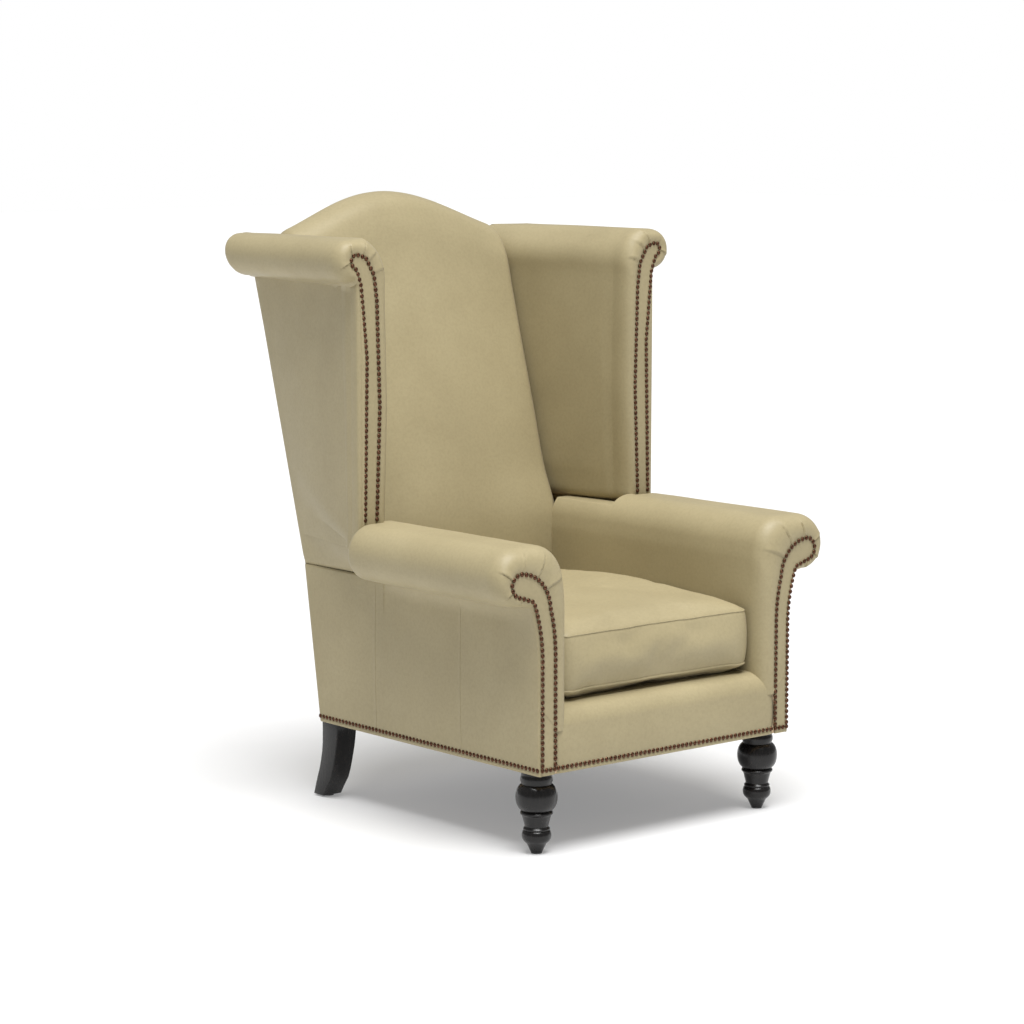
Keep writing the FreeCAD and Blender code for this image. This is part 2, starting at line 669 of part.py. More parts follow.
outside_back = side_slab("outside_back_sheet", [
    (f"{rear_low('leg_height')} - leather", "leg_height"), ("base_depth", "leg_height"),
    (BREAK_Y, "rake_start"), lean_point("0", along("back_height") + " - 52"),
    lean_point("leather", along("back_height") + " - 52"), (f"{BREAK_Y} - leather", "rake_start")],
    f"-{FRAME_SIDE}", f"2 * {FRAME_SIDE}")
TOP_EDGE = "(50)"


def sheet_top(across):
    """A point on the upper edge of the outside back, below the camel line."""
    return (str(across), f"{camel(across)} - {TOP_EDGE}")


camel_zone = slab("camel_zone", [
    ("-base_width / 2", "leg_height"), ("base_width / 2", "leg_height"),
    sheet_top("base_width / 2") + sheet_top("camel_reach * 0.68"),
    sheet_top("camel_reach / 2") + sheet_top("0"),
    sheet_top("-camel_reach / 2") + sheet_top("-camel_reach * 0.68"),
    sheet_top("-base_width / 2")], "base_depth - 20", "400")
keep(common("outside_back", outside_back, camel_zone), "outside_back_cover")


# Seat frame and suspension
side_rail = side_slab("side_rail", [
    ("timber", "leg_height + leather"),
    (f"{rear_low('leg_height + leather')} - {POST_FRONT}", "leg_height + leather"),
    (f"{rear_low(RAIL_TOP)} - {POST_FRONT}", RAIL_TOP), ("timber", RAIL_TOP)],
    f"{FRAME_SIDE} - 4 - timber", "timber")
both_sides(side_rail, "side_seat_rail")
rail_reach = f"({INNER} + arm_face_round)"
front_rail = side_slab("front_rail", [
    ("leather", "leg_height + leather"), ("timber", "leg_height + leather"), ("timber", RAIL_TOP),
    ("leather + 6", RAIL_TOP), ("leather", f"{RAIL_TOP} - 12")], f"-{rail_reach}", f"2 * {rail_reach}")
keep(front_rail, "front_seat_rail")
rear_rail = side_slab("rear_rail", [
    (f"{rear_low('leg_height + leather')} - leather - timber", "leg_height + leather"),
    (f"{rear_low('leg_height + leather')} - leather", "leg_height + leather"),
    (f"{rear_low(RAIL_TOP)} - leather", RAIL_TOP),
    (f"{rear_low(RAIL_TOP)} - leather - timber", RAIL_TOP)],
    f"-({POST_IN})", f"2 * {POST_IN}")
keep(rear_rail, "rear_seat_rail")
BLOCK_REAR = f"{rear_low('leg_height + leather')} - leather - timber"
front_block = plan_slab("front_block", [
    (f"{POST_IN} - 70", "timber"), (POST_IN, "timber"), (POST_IN, "timber + 70"),
    (f"{POST_IN} - 22", "timber + 70"), (f"{POST_IN} - 70", "timber + 22")],
    "leg_height + leather", "rail_height / 2")
rear_block = plan_slab("rear_block", [
    (f"{POST_IN} - 70", BLOCK_REAR), (f"{POST_IN} - 70", f"{BLOCK_REAR} - 22"),
    (f"{POST_IN} - 22", f"{BLOCK_REAR} - 70"), (POST_IN, f"{BLOCK_REAR} - 70"), (POST_IN, BLOCK_REAR)],
    "leg_height + leather", "rail_height / 2")


def web_row(name, low, high, first, count, lengthwise):
    """A row of webs side by side, under the deck or across the back."""
    webs = []
    for place_in_row in range(count):
        middle = f"({first}) + {place_in_row} * web_pitch"
        near = (f"({middle}) - webbing_width / 2", low)
        far = (f"({middle}) + webbing_width / 2", high)
        if not lengthwise:
            near = near[::-1]
            far = far[::-1]
        webs.append(plan_slab(f"{name}_{place_in_row}", box(near, far),
                              RAIL_TOP if lengthwise else f"{RAIL_TOP} + webbing", "webbing"))
    return webs


SEAT_REAR = f"{rear_low(RAIL_TOP)} - leather"
keep(fuse("seat_webs_long", web_row(
    "web_long", "leather + 3", SEAT_REAR, "-2 * web_pitch", 5, True)), "seat_webbing_front_to_back")
keep(fuse("seat_webs_cross", web_row(
    "web_cross", f"-({FRAME_SIDE} - 6)", f"{FRAME_SIDE} - 6", "150", 5, False)), "seat_webbing_side_to_side")
canvas_low = f"{RAIL_TOP} + 2 * webbing"
keep(plan_slab("canvas", box(
    (f"-({INNER} + 10)", "timber"), (f"{INNER} + 10", f"{BACK_FACE} - 4")), canvas_low, "cloth"),
    "spring_canvas")
keep(plan_slab("deck_foam", box(
    (f"-({INNER} - 1)", "timber + 40"), (f"{INNER} - 1", f"{BACK_FACE} - 1")),
    f"{canvas_low} + cloth", f"deck_height - cloth - ({canvas_low}) - cloth"), "deck_pad")

# Padded front rail with the leather that runs from the bottom edge over it to the deck
rail_half = f"{INNER} + arm_face_round - 0.5"
front_leather = side_slab("front_leather", [
    ("0", "leg_height"), ("leather", "leg_height"),
    ("leather", "deck_height - rail_round", "leather + (rail_round - leather) * 0.2929",
     "deck_height - leather - (rail_round - leather) * 0.2929"),
    ("rail_round", "deck_height - leather"), ("timber + 40", "deck_height - leather"),
    ("timber + 40", "deck_height"), ("rail_round", "deck_height",
     "rail_round * 0.2929", "deck_height - rail_round * 0.2929"), ("0", "deck_height - rail_round")],
    f"-({rail_half})", f"2 * ({rail_half})")
keep(front_leather, "front_rail_cover")


# Seat cushion
def cushion_corners(share, inset, shrink="0"):
    """The cushion in section from the front; share runs from 0 at the front seam to 1 at the back."""
    swell = f"sin(180 * {share})"
    half = f"(cushion_width / 2 - cushion_drawn * {swell} - {inset} - {shrink})"
    low = f"(deck_height + cushion_gap + cushion_belly + {inset} + {shrink})"
    seam = f"({low} + cushion_border + cushion_crown * 0.55 * {swell} - 2 * {inset} - 2 * {shrink})"
    middle = f"({low} + cushion_border / 2)"
    return [
        (f"-{half}", low, "0", f"{low} - cushion_belly * (0.3 + 0.7 * {swell})"),
        (half, low, f"{half} + cushion_bulge + cushion_drawn * {swell}", middle),
        (half, seam, "0", f"{seam} + cushion_crown * (0.08 + 0.37 * {swell})"),
        (f"-{half}", seam, f"-({half} + cushion_bulge + cushion_drawn * {swell})", middle),
    ]


def cushion_body(name, inset, shares):
    body = new_body(name)
    front = new_sketch(body, "XZ_Plane", f"-(cushion_front - cushion_bulge + {inset})")
    sketches = [draw(front, cushion_corners(0, inset, "10"))]
    for share in shares:
        offset = f"-(cushion_front + {inset} + (cushion_depth - 2 * {inset}) * {share})"
        sketches.append(draw(new_sketch(body, "XZ_Plane", offset), cushion_corners(share, inset)))
    loft(body, sketches)
    return body


cushion_form = cushion_body("cushion_form", "0", [0, 0.07, 0.18, 0.34, 0.5, 0.66, 0.82, 0.93, 1])
cushion_core = slab("cushion_core", [
    ("-(cushion_width / 2 - 12)", "deck_height + cushion_gap + cushion_belly + 4"),
    ("cushion_width / 2 - 12", "deck_height + cushion_gap + cushion_belly + 4"),
    ("cushion_width / 2 - 12", "deck_height + cushion_gap + cushion_belly + cushion_border - 6"),
    ("-(cushion_width / 2 - 12)", "deck_height + cushion_gap + cushion_belly + cushion_border - 6")],
    "cushion_front + 8", "cushion_depth - 20")
keep(cut("cushion_cover", cushion_form, [cushion_core]), "cushion_cover")
keep(cushion_core, "cushion_core")


# Padding and cloth of the deck
edge_low = f"{RAIL_TOP} + 2 * webbing + cloth"
edge_roll = side_slab("edge_roll", [
    ("timber", edge_low), ("leather + 4", edge_low, "leather + 15", "deck_height - leather - 13"),
    ("rail_round", "deck_height - leather - 1"), ("timber + 40", "deck_height - leather - 1"),
    ("timber + 40", edge_low)], f"-({rail_half})", f"2 * ({rail_half})")
keep(edge_roll, "front_edge_roll")
keep(plan_slab("deck_cloth", box(
    (f"-({INNER} - 1)", "timber + 40"), (f"{INNER} - 1", f"{BACK_FACE} - 0.5")),
    "deck_height - cloth", "cloth"), "deck_cover")


# Legs
def place_at(body, across, back):
    """Move a piece that is drawn round its own upright axis."""
    body.setExpression("Placement.Base.x", bound(across))
    body.setExpression("Placement.Base.y", bound(f"{back} - ({HALF_DEPTH})"))


def turned(name, profile, across, back):
    """A round piece, turned about its own upright axis."""
    body = document.addObject("PartDesign::Body", name)
    sketch = draw(new_sketch(body, "XZ_Plane"), profile)
    turn = body.newObject("PartDesign::Revolution", name + "_turned")
    turn.Profile = sketch
    turn.ReferenceAxis = (sketch, ["V_Axis"])
    turn.Angle = 360
    place_at(body, across, back)
    return body


def rod(name, width, low, high, across, back):
    return turned(name, [("0", low), (f"{width} / 2", low), (f"{width} / 2", high), ("0", high)],
                  across, back)


LEG_TOP = "(leg_height + leather)"
REAR_LEG_X = "(base_width / 2 - rear_leg_inset - rear_leg_width / 2)"


def swelling(low, high, small, large, steps):
    """Points of a turned swelling between two heights, as a share of a half circle."""
    points = []
    for step in range(steps + 1):
        turn = 180 * step / steps
        points.append((f"{small} + ({large} - ({small})) * sin({turn})",
                       f"{low} + ({high} - ({low})) * (1 - cos({turn})) / 2"))
    return points


def lathe(name, profile, across, back):
    """A turned piece with many flats round its axis; a profile point is (radius, height)."""
    rings = []
    for step, (radius, height) in enumerate(profile):
        ring = document.addObject("Part::RegularPolygon", f"{name}_ring_{step}")
        ring.Polygon = LEG_FLATS
        ring.setExpression("Circumradius", bound(radius))
        ring.setExpression("Placement.Base.z", bound(height))
        place_at(ring, across, back)
        rings.append(ring)
    piece = document.addObject("Part::Loft", name)
    piece.Sections = rings
    piece.Solid = True
    piece.Ruled = True
    return piece


LEG_FLATS = 24
front_leg = lathe("turned_leg", [
    ("glide_width / 2 + 1", "glide_height"), ("toe_width / 2", "leg_height * 0.042"), ("toe_width / 2 + 5.5", "leg_height * 0.12")]
    + swelling("leg_height * 0.15", "leg_height * 0.29", "ring_width / 2 - 4", "ring_width / 2", 4)
    + [("ankle_width / 2", "leg_height * 0.325"), ("taper_width / 2", "leg_height * 0.46"),
       ("collar_width / 2", "leg_height * 0.482"), ("collar_width / 2", "leg_height * 0.518")]
    + swelling("leg_height * 0.521", "leg_height * 0.845", "ball_width / 2 - 13", "ball_width / 2", 6)
    + [("collar_width / 2 - 2", "leg_height * 0.867"), ("collar_width / 2", "leg_height * 0.897"),
       ("collar_width / 2 - 8", "leg_height * 0.957"), ("collar_width / 2 - 8", LEG_TOP)],
    "front_leg_across", "front_leg_back")


def square(across, back, width, depth):
    return box((f"{across} - {width} / 2", f"{back} - {depth} / 2"),
               (f"{across} + {width} / 2", f"{back} + {depth} / 2"))


rear_leg = new_body("sabre_leg")
leg_sections = []
for share in (1, 0.75, 0.5, 0.25, 0):
    leg_sections.append(draw(
        new_sketch(rear_leg, "XY_Plane", f"glide_height + ({LEG_TOP} - glide_height) * {share}"),
        square(f"({REAR_LEG_X} - {1.5 * (1 - share)})",
               f"(base_depth - rear_leg_width / 2 - 10 + rear_leg_kick * {(1 - share) ** 1.7:.4f})",
               f"(rear_leg_width - {4 * (1 - share)})", f"(rear_leg_width - {17 * (1 - share)})")))
loft(rear_leg, leg_sections, ruled=False)

dust_sheet = plan_slab("dust_sheet", box(
    (f"-({POST_IN} - 1)", "timber + 2"), (f"{POST_IN} - 1", f"{BLOCK_REAR} - 2")),
    "leg_height + leather / 2", "cloth")
keep(cut("dust_sheet_fitted", dust_sheet, [
    front_leg, mirror(front_leg, "front_leg_twin"), rear_leg, mirror(rear_leg, "rear_leg_twin")]),
    "dust_cover")
FOOT_Y = "base_depth - rear_leg_width / 2 - 10 + rear_leg_kick"
REAR_BOLT = ("base_width / 2 - leather - timber - 16", "base_depth - leather - timber - 22")
bolt_low = "leg_height + leather + rail_height / 2 - bolt_length"
bolt_high = "leg_height + leather + rail_height / 2"
front_bolt = rod("front_bolt", "bolt_width", bolt_low, bolt_high, "front_leg_across", "front_leg_back")
rear_bolt = rod("rear_bolt", "bolt_width", bolt_low, bolt_high, REAR_BOLT[0], REAR_BOLT[1])
front_glide = rod("front_glide", "glide_width", "0", "glide_height", "front_leg_across", "front_leg_back")
rear_glide = rod("rear_glide", "glide_width", "0", "glide_height", f"{REAR_LEG_X} - 1.5", FOOT_Y)
both_sides(cut("front_leg_bored", front_leg, [front_bolt]), "front_leg")
both_sides(cut("rear_leg_bored", rear_leg, [rear_bolt]), "rear_leg")
front_block_bored = cut("front_block_bored", front_block, [front_bolt])
rear_block_bored = cut("rear_block_bored", rear_block, [rear_bolt])
keep(fuse("blocks", [front_block_bored, mirror(front_block_bored, "front_block_twin"),
                     rear_block_bored, mirror(rear_block_bored, "rear_block_twin")]), "corner_blocks")
keep(fuse("hanger_bolts", [front_bolt, mirror(front_bolt, "front_bolt_twin"),
                           rear_bolt, mirror(rear_bolt, "rear_bolt_twin")]), "leg_hanger_bolts")
keep(fuse("glides", [front_glide, mirror(front_glide, "front_glide_twin"),
                     rear_glide, mirror(rear_glide, "rear_glide_twin")]), "foot_glides")
document.recompute()


# Nailed faces and nails, made from the nail lines
def face_wire(corners, depth):
    """The nail line as an open wire in the plane Y = depth, from the inner end to the outer end."""
    points = [FreeCAD.Vector(number(corner[0]), depth, number(corner[1])) for corner in corners]
    edges = []
    for position, corner in enumerate(corners[:-1]):
        start, end = points[position], points[position + 1]
        if len(corner) == 4:
            passed = FreeCAD.Vector(number(corner[2]), depth, number(corner[3]))
            edges.append(Part.Arc(start, passed, end).toShape())
        else:
            edges.append(Part.LineSegment(start, end).toShape())
    return Part.Wire(edges)


def leather_face(name, wire, out):
    """The leather over a face: the nail line and a margin, one leather thick."""
    closed = Part.Wire(wire.Edges + [Part.LineSegment(
        wire.OrderedVertexes[-1].Point, wire.OrderedVertexes[0].Point).toShape()])
    sheet_face = Part.Face(closed.makeOffset2D(number("nail_margin")))
    return make_feature(name, sheet_face.extrude(FreeCAD.Vector(0, out, 0)))


def make_feature(name, shape):
    feature = document.addObject("Part::Feature", name)
    feature.Shape = shape
    feature.Placement = FreeCAD.Placement(
        FreeCAD.Vector(0, -number(HALF_DEPTH), 0), FreeCAD.Rotation())
    return feature


def nail(point, outward, upward):
    """A nail head: a low pyramid on three corners, its base on the leather."""
    sideways = outward.cross(upward)
    reach = number("nail_width") / 2
    corners = []
    for turn in (90, 210, 330):
        angle = math.radians(turn)
        corners.append(point + sideways * reach * math.cos(angle) + upward * reach * math.sin(angle))
    tip = point + outward * number("nail_height")
    faces = [Part.Face(Part.makePolygon(corners + corners[:1]))]
    for position in range(3):
        side = [corners[position], corners[(position + 1) % 3], tip]
        faces.append(Part.Face(Part.makePolygon(side + side[:1])))
    return Part.makeSolid(Part.makeShell(faces))


def row_points(wire):
    count = max(2, round(wire.Length / number("nail_pitch")) + 1)
    return wire.discretize(Number=count)


def nails(name, rows):
    """One node for the nails of several rows, each a wire with its outward direction."""
    heads = []
    for wire, outward, upward in rows:
        heads += [nail(point, outward, upward) for point in row_points(wire)]
    return make_feature(name, Part.makeCompound(heads))


FRONT = FreeCAD.Vector(0, -1, 0)
UP = FreeCAD.Vector(0, 0, 1)
thick = number("leather")
arm_line = arm_face_corners(f"leg_height + base_nail_height + nail_pitch * 0.8")
both_sides(leather_face("arm_face", face_wire(arm_face_corners("leg_height + nail_margin"), 0), -thick),
           "arm_facing")
both_sides(nails("arm_face_nails", [(face_wire(arm_line, -thick), FRONT, UP)]), "arm_nails")


def wing_face_corners(low):
    """The nail line of the wing face, open at the given height above the arm."""
    corners = wing_outline("face")[:-3]
    corners[0] = (corners[0][0], low)
    corners[-1] = (corners[-1][0], low)
    return corners


wing_depth = number("wing_front")
both_sides(leather_face("wing_face", face_wire(
    wing_face_corners("arm_height + nail_gap + nail_margin"), wing_depth), -thick), "wing_facing")
both_sides(nails("wing_face_nails", [(face_wire(
    wing_face_corners("arm_height + nail_gap + nail_width / 2"), wing_depth - thick), FRONT, UP)]),
    "wing_nails")


def level_row(start, end):
    return Part.Wire([Part.LineSegment(FreeCAD.Vector(*start), FreeCAD.Vector(*end)).toShape()])


row_height = number("leg_height + base_nail_height")
half_panel = number(PANEL)
face_inner = number(f"{INNER} + arm_face_round")
back_y = number(rear_low("leg_height + base_nail_height"))
tilt = math.radians(number("lower_rake"))
BACKWARD = FreeCAD.Vector(0, math.cos(tilt), -math.sin(tilt))
BACK_UP = FreeCAD.Vector(0, math.sin(tilt), math.cos(tilt))
inset = number("nail_inset")
front_half = face_inner - number("nail_margin + nail_width / 2 + nail_gap")
front_row = level_row((-front_half, 0, row_height), (front_half, 0, row_height))
base_rows = [(front_row, FRONT, UP)]
for side in (-1, 1):
    outer = FreeCAD.Vector(side, 0, 0)
    base_rows.append((level_row((side * (front_half + number("nail_pitch")), -thick, row_height),
                                (side * (half_panel - inset), -thick, row_height)), FRONT, UP))
    base_rows.append((level_row((side * half_panel, inset, row_height),
                                (side * half_panel, back_y - inset, row_height)), outer, UP))
base_rows.append((level_row((inset - half_panel, back_y, row_height),
                            (half_panel - inset, back_y, row_height)), BACKWARD, BACK_UP))
keep(nails("base_rows", base_rows), "base_nails")

document.recompute()
failed = [piece.Name for piece in document.Objects
          if "Invalid" in piece.State or "Error" in piece.State]
if failed:
    raise RuntimeError("not built: " + ", ".join(failed))
os.makedirs("parts", exist_ok=True)
for piece in kept:
    shape = piece.Shape
    if shape.isNull() or not shape.isValid() or not shape.Solids:
        raise RuntimeError("not a sound solid: " + piece.Label)
    shape.exportStep(f"parts/{piece.Label}.step")
box_now = Part.makeCompound([piece.Shape for piece in kept]).BoundBox
print(f"{len(kept)} pieces, {box_now.XLength:.1f} x {box_now.YLength:.1f} x {box_now.ZLength:.1f} mm, "
      f"middle at {box_now.Center.x:.2f}, {box_now.Center.y:.2f}, lowest {box_now.ZMin:.2f}")
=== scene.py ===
"""Wingback armchair in smooth leather with nail trim, dressed over its solids.

Lengths below are in millimetres in the drawing's frame: X to the sitter's left, Y back from the plane
of the front rail, Z up from the floor. at() turns them into the frame's metres.
"""
import json
import math

import bmesh
import bpy
from mathutils import Matrix, Vector, noise
from mathutils.bvhtree import BVHTree

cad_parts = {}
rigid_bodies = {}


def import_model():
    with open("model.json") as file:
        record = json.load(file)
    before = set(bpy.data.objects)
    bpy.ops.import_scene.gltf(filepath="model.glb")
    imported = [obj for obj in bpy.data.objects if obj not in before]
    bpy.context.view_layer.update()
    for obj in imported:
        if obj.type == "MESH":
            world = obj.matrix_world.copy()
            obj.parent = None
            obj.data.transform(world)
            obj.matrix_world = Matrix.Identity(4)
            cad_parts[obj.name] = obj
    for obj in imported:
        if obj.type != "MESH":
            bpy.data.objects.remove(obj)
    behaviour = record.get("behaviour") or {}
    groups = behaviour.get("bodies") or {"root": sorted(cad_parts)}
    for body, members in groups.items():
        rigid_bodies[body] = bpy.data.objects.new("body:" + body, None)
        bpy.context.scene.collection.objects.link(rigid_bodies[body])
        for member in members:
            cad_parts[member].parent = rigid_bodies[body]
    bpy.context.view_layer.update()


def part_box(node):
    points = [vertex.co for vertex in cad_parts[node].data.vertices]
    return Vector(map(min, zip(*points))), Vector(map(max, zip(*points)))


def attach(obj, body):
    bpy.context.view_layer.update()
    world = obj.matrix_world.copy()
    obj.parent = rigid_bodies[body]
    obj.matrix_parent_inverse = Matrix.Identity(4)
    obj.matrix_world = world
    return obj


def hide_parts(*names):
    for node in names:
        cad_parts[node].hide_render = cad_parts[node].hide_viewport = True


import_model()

MM = 0.001


def span(node):
    low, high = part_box(node)
    return [value / MM for value in low], [value / MM for value in high]


# Lines of the chair, read from its solids
FRONT = span("arm_scroll_post_left")[0][1]
BASE_LOW = span("outside_arm_cover_left")[0][2]
PANEL_X = span("outside_arm_cover_left")[1][0]
DECK = span("deck_cover")[1][2]
(ARM_IN, _, _), (ARM_OUT, ARM_REAR, ARM_TOP) = span("inside_arm_cover_left")
ROLL = 58
ROLL_X = ARM_OUT - ROLL
ROLL_Z = ARM_TOP - ROLL
DIAGONAL = ROLL * 0.7071
TUCK = ARM_TOP - 2 * ROLL
ARM_ROUND = 38
WING_Y = span("wing_scroll_post_left")[0][1] - FRONT
WING_OUT = span("inside_wing_cover_left")[1][0]
WING_ROLL = 44
WING_ROLL_X = WING_OUT - WING_ROLL
WING_DIAGONAL = WING_ROLL * 0.7071
WING_ROUND = 28
WING_TOP = 1190
WING_ROLL_Z = WING_TOP - WING_ROLL
WING_X = PANEL_X + 63
WING_IN = WING_X - 80
BACK_FACE = ARM_REAR - FRONT
BACK_HALF = span("inside_back_cover")[1][0]
BACK_TOP = 1270
LEAN = math.radians(15.8)
LOW_LEAN = math.radians(8.8)
LEAN_START = 493
BASE_REAR = 715
BREAK_Y = BASE_REAR + (LEAN_START - BASE_LOW) * math.tan(LOW_LEAN)


def at(x, y, z):
    return Vector((x * MM, (y + FRONT) * MM, z * MM))


def rear_line(z):
    """How far back the outside back lies at a height."""
    if z < LEAN_START:
        return BASE_REAR + (z - BASE_LOW) * math.tan(LOW_LEAN)
    return BREAK_Y + (z - LEAN_START) * math.tan(LEAN)


def lean_point(forward, height):
    """A point of the side view, so far in front of the raked back, measured square to it."""
    along = (height - LEAN_START) / math.cos(LEAN)
    return (BREAK_Y + along * math.sin(LEAN) - forward * math.cos(LEAN),
            LEAN_START + along * math.cos(LEAN) + forward * math.sin(LEAN))


def camel(across):
    return BACK_TOP - 100 * (1 - math.cos(math.pi * min(abs(across), 400) / 400)) / 2


def ease(value, low=0.0, high=1.0):
    share = min(max((value - low) / (high - low), 0.0), 1.0)
    return share * share * (3 - 2 * share)


def mix(a, b, share):
    """The point that lies the given share of the way from a to b."""
    return tuple(p + (q - p) * share for p, q in zip(a, b))


def bell(value, width):
    return math.exp(-(value / width) ** 2)


def arch(share):
    """Rises from 0 to 1 in the middle and falls to 0 again."""
    return math.sin(math.pi * min(max(share, 0), 1))


# Outlines
def arc(start, via, end, count):
    """Points of the arc through three points, without its end."""
    (ax, ay), (bx, by), (cx, cy) = start, via, end
    spread = 2 * (ax * (by - cy) + bx * (cy - ay) + cx * (ay - by))
    if abs(spread) < 1e-6:
        return [mix(start, end, i / count) for i in range(count)]
    a2, b2, c2 = ax * ax + ay * ay, bx * bx + by * by, cx * cx + cy * cy
    mx = (a2 * (by - cy) + b2 * (cy - ay) + c2 * (ay - by)) / spread
    my = (a2 * (cx - bx) + b2 * (ax - cx) + c2 * (bx - ax)) / spread
    radius = math.hypot(ax - mx, ay - my)
    first = math.atan2(ay - my, ax - mx)
    middle = math.atan2(by - my, bx - mx)
    last = math.atan2(cy - my, cx - mx)
    turn = (last - first) % (2 * math.pi)
    if (middle - first) % (2 * math.pi) > turn:
        turn -= 2 * math.pi
    return [(mx + radius * math.cos(first + turn * i / count),
             my + radius * math.sin(first + turn * i / count)) for i in range(count)]


def trace(corners, counts):
    """An open outline; a corner of four numbers starts an arc through its second pair."""
    points = []
    for corner, following, count in zip(corners, corners[1:], counts):
        start, end = corner[:2], following[:2]
        if len(corner) == 4:
            points += arc(start, corner[2:], end, count)
        else:
            points += [mix(start, end, i / count) for i in range(count)]
    points.append(corners[-1][:2])
    return points


def smooth_line(points, passes, count=None):
    """The line with its first corners eased; count limits how many points are."""
    points = list(points)
    last = len(points) - 1 if count is None else count
    for _ in range(passes):
        eased = [((a[0] + 2 * b[0] + c[0]) / 4, (a[1] + 2 * b[1] + c[1]) / 4)
                 for a, b, c in zip(points, points[1:last], points[2:])]
        points[1:last] = eased[:last - 1]
    return points


def outward(points):
    """Unit normals to the left of an outline that runs clockwise from its inner foot."""
    normals = []
    for i in range(len(points)):
        a, b = points[max(i - 1, 0)], points[min(i + 1, len(points) - 1)]
        dx, dz = b[0] - a[0], b[1] - a[1]
        length = math.hypot(dx, dz) or 1
        normals.append((-dz / length, dx / length))
    return normals


# Making meshes
def make(name, points, faces, side=1):
    """A mesh from points in the drawing's frame, mirrored for the other side of the chair."""
    mesh = bpy.data.meshes.new(name)
    mesh.from_pydata([at(side * x, y, z) for x, y, z in points], [],
                     faces if side > 0 else [face[::-1] for face in faces])
    mesh.update()
    return place_in_scene(name, mesh)


def place_in_scene(name, data):
    item = bpy.data.objects.new(name, data)
    bpy.context.scene.collection.objects.link(item)
    return item


def net(rows, around=False):
    """Points and faces of a net of rows; around closes each row on itself."""
    wide = len(rows[0])
    points = [point for row in rows for point in row]
    faces = []
    for r in range(len(rows) - 1):
        for c in range(wide if around else wide - 1):
            d = (c + 1) % wide
            faces.append((r * wide + c, r * wide + d, (r + 1) * wide + d, (r + 1) * wide + c))
    return points, faces


def finish(piece, material, smooth=50, turn_out=True):
    """Merged, facing outwards, smooth, and dressed."""
    form = bmesh.new()
    form.from_mesh(piece.data)
    bmesh.ops.remove_doubles(form, verts=form.verts, dist=0.00002)
    if turn_out:
        bmesh.ops.recalc_face_normals(form, faces=form.faces)
    form.to_mesh(piece.data)
    form.free()
    piece.data.materials.clear()
    piece.data.materials.append(material)
    pick(piece)
    bpy.ops.object.shade_smooth_by_angle(angle=math.radians(smooth))
    return piece


def stand_for(piece, nodes):
    """The piece takes the place of these solids on the chair."""
    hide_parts(*nodes)
    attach(piece, "chair")


def deselect():
    for item in bpy.context.scene.objects:
        item.select_set(False)


def pick(piece):
    deselect()
    bpy.context.view_layer.objects.active = piece
    piece.select_set(True)


def apply(piece, kind, **settings):
    """Put a modifier on a piece and apply it."""
    modifier = piece.modifiers.new(kind.title(), kind)
    for key, value in settings.items():
        setattr(modifier, key, value)
    pick(piece)
    bpy.ops.object.modifier_apply(modifier=modifier.name)


# Finishes
def blank(name):
    """A principled material, and the coordinates of the piece that wears it."""
    material = bpy.data.materials.new(name)
    material.use_nodes = True
    tree = material.node_tree
    tree.nodes.clear()
    out = tree.nodes.new("ShaderNodeOutputMaterial")
    shader = tree.nodes.new("ShaderNodeBsdfPrincipled")
    tree.links.new(shader.outputs[0], out.inputs[0])
    return material, tree, shader, tree.nodes.new("ShaderNodeTexCoord").outputs["Object"]


def node_of(tree, kind, values, **sources):
    """A node with values on its sockets, and a source linked to each input named."""
    node = tree.nodes.new("ShaderNode" + kind)
    for socket, value in values.items():
        node.inputs[socket].default_value = value
    for socket, source in sources.items():
        tree.links.new(source, node.inputs[socket])
    return node


def noise_at(tree, place, scale, detail, rough=0.5):
    values = {"Scale": scale, "Detail": detail, "Roughness": rough}
    return node_of(tree, "TexNoise", values, Vector=place).outputs["Fac"]


def ramp(tree, source, stops):
    node = tree.nodes.new("ShaderNodeValToRGB")
    while len(node.color_ramp.elements) < len(stops):
        node.color_ramp.elements.new(0.5)
    for element, (where, colour) in zip(node.color_ramp.elements, stops):
        element.position = where
        element.color = (*colour, 1)
    tree.links.new(source, node.inputs[0])
    return node.outputs[0]


def multiply(tree, first, second):
    node = tree.nodes.new("ShaderNodeMix")
    node.data_type = "RGBA"
    node.blend_type = "MULTIPLY"
    node.inputs[0].default_value = 1.0
    tree.links.new(first, node.inputs[6])
    tree.links.new(second, node.inputs[7])
    return node.outputs[2]


def spread_values(tree, source, low, high, full=1.0):
    values = {"To Min": low, "To Max": high, "From Max": full}
    return node_of(tree, "MapRange", values, Value=source).outputs[0]


def bump(tree, height, strength, distance, **after):
    values = {"Strength": strength, "Distance": distance}
    return node_of(tree, "Bump", values, Height=height, **after).outputs[0]


def wear(tree, shader, colour, rough, normal, **values):
    """Link a finish's colour, roughness and relief; roughness may be a number."""
    tree.links.new(colour, shader.inputs["Base Color"])
    tree.links.new(normal, shader.inputs["Normal"])
    if isinstance(rough, float):
        shader.inputs["Roughness"].default_value = rough
    else:
        tree.links.new(rough, shader.inputs["Roughness"])
    for socket, value in values.items():
        shader.inputs[socket.replace("_", " ")].default_value = value


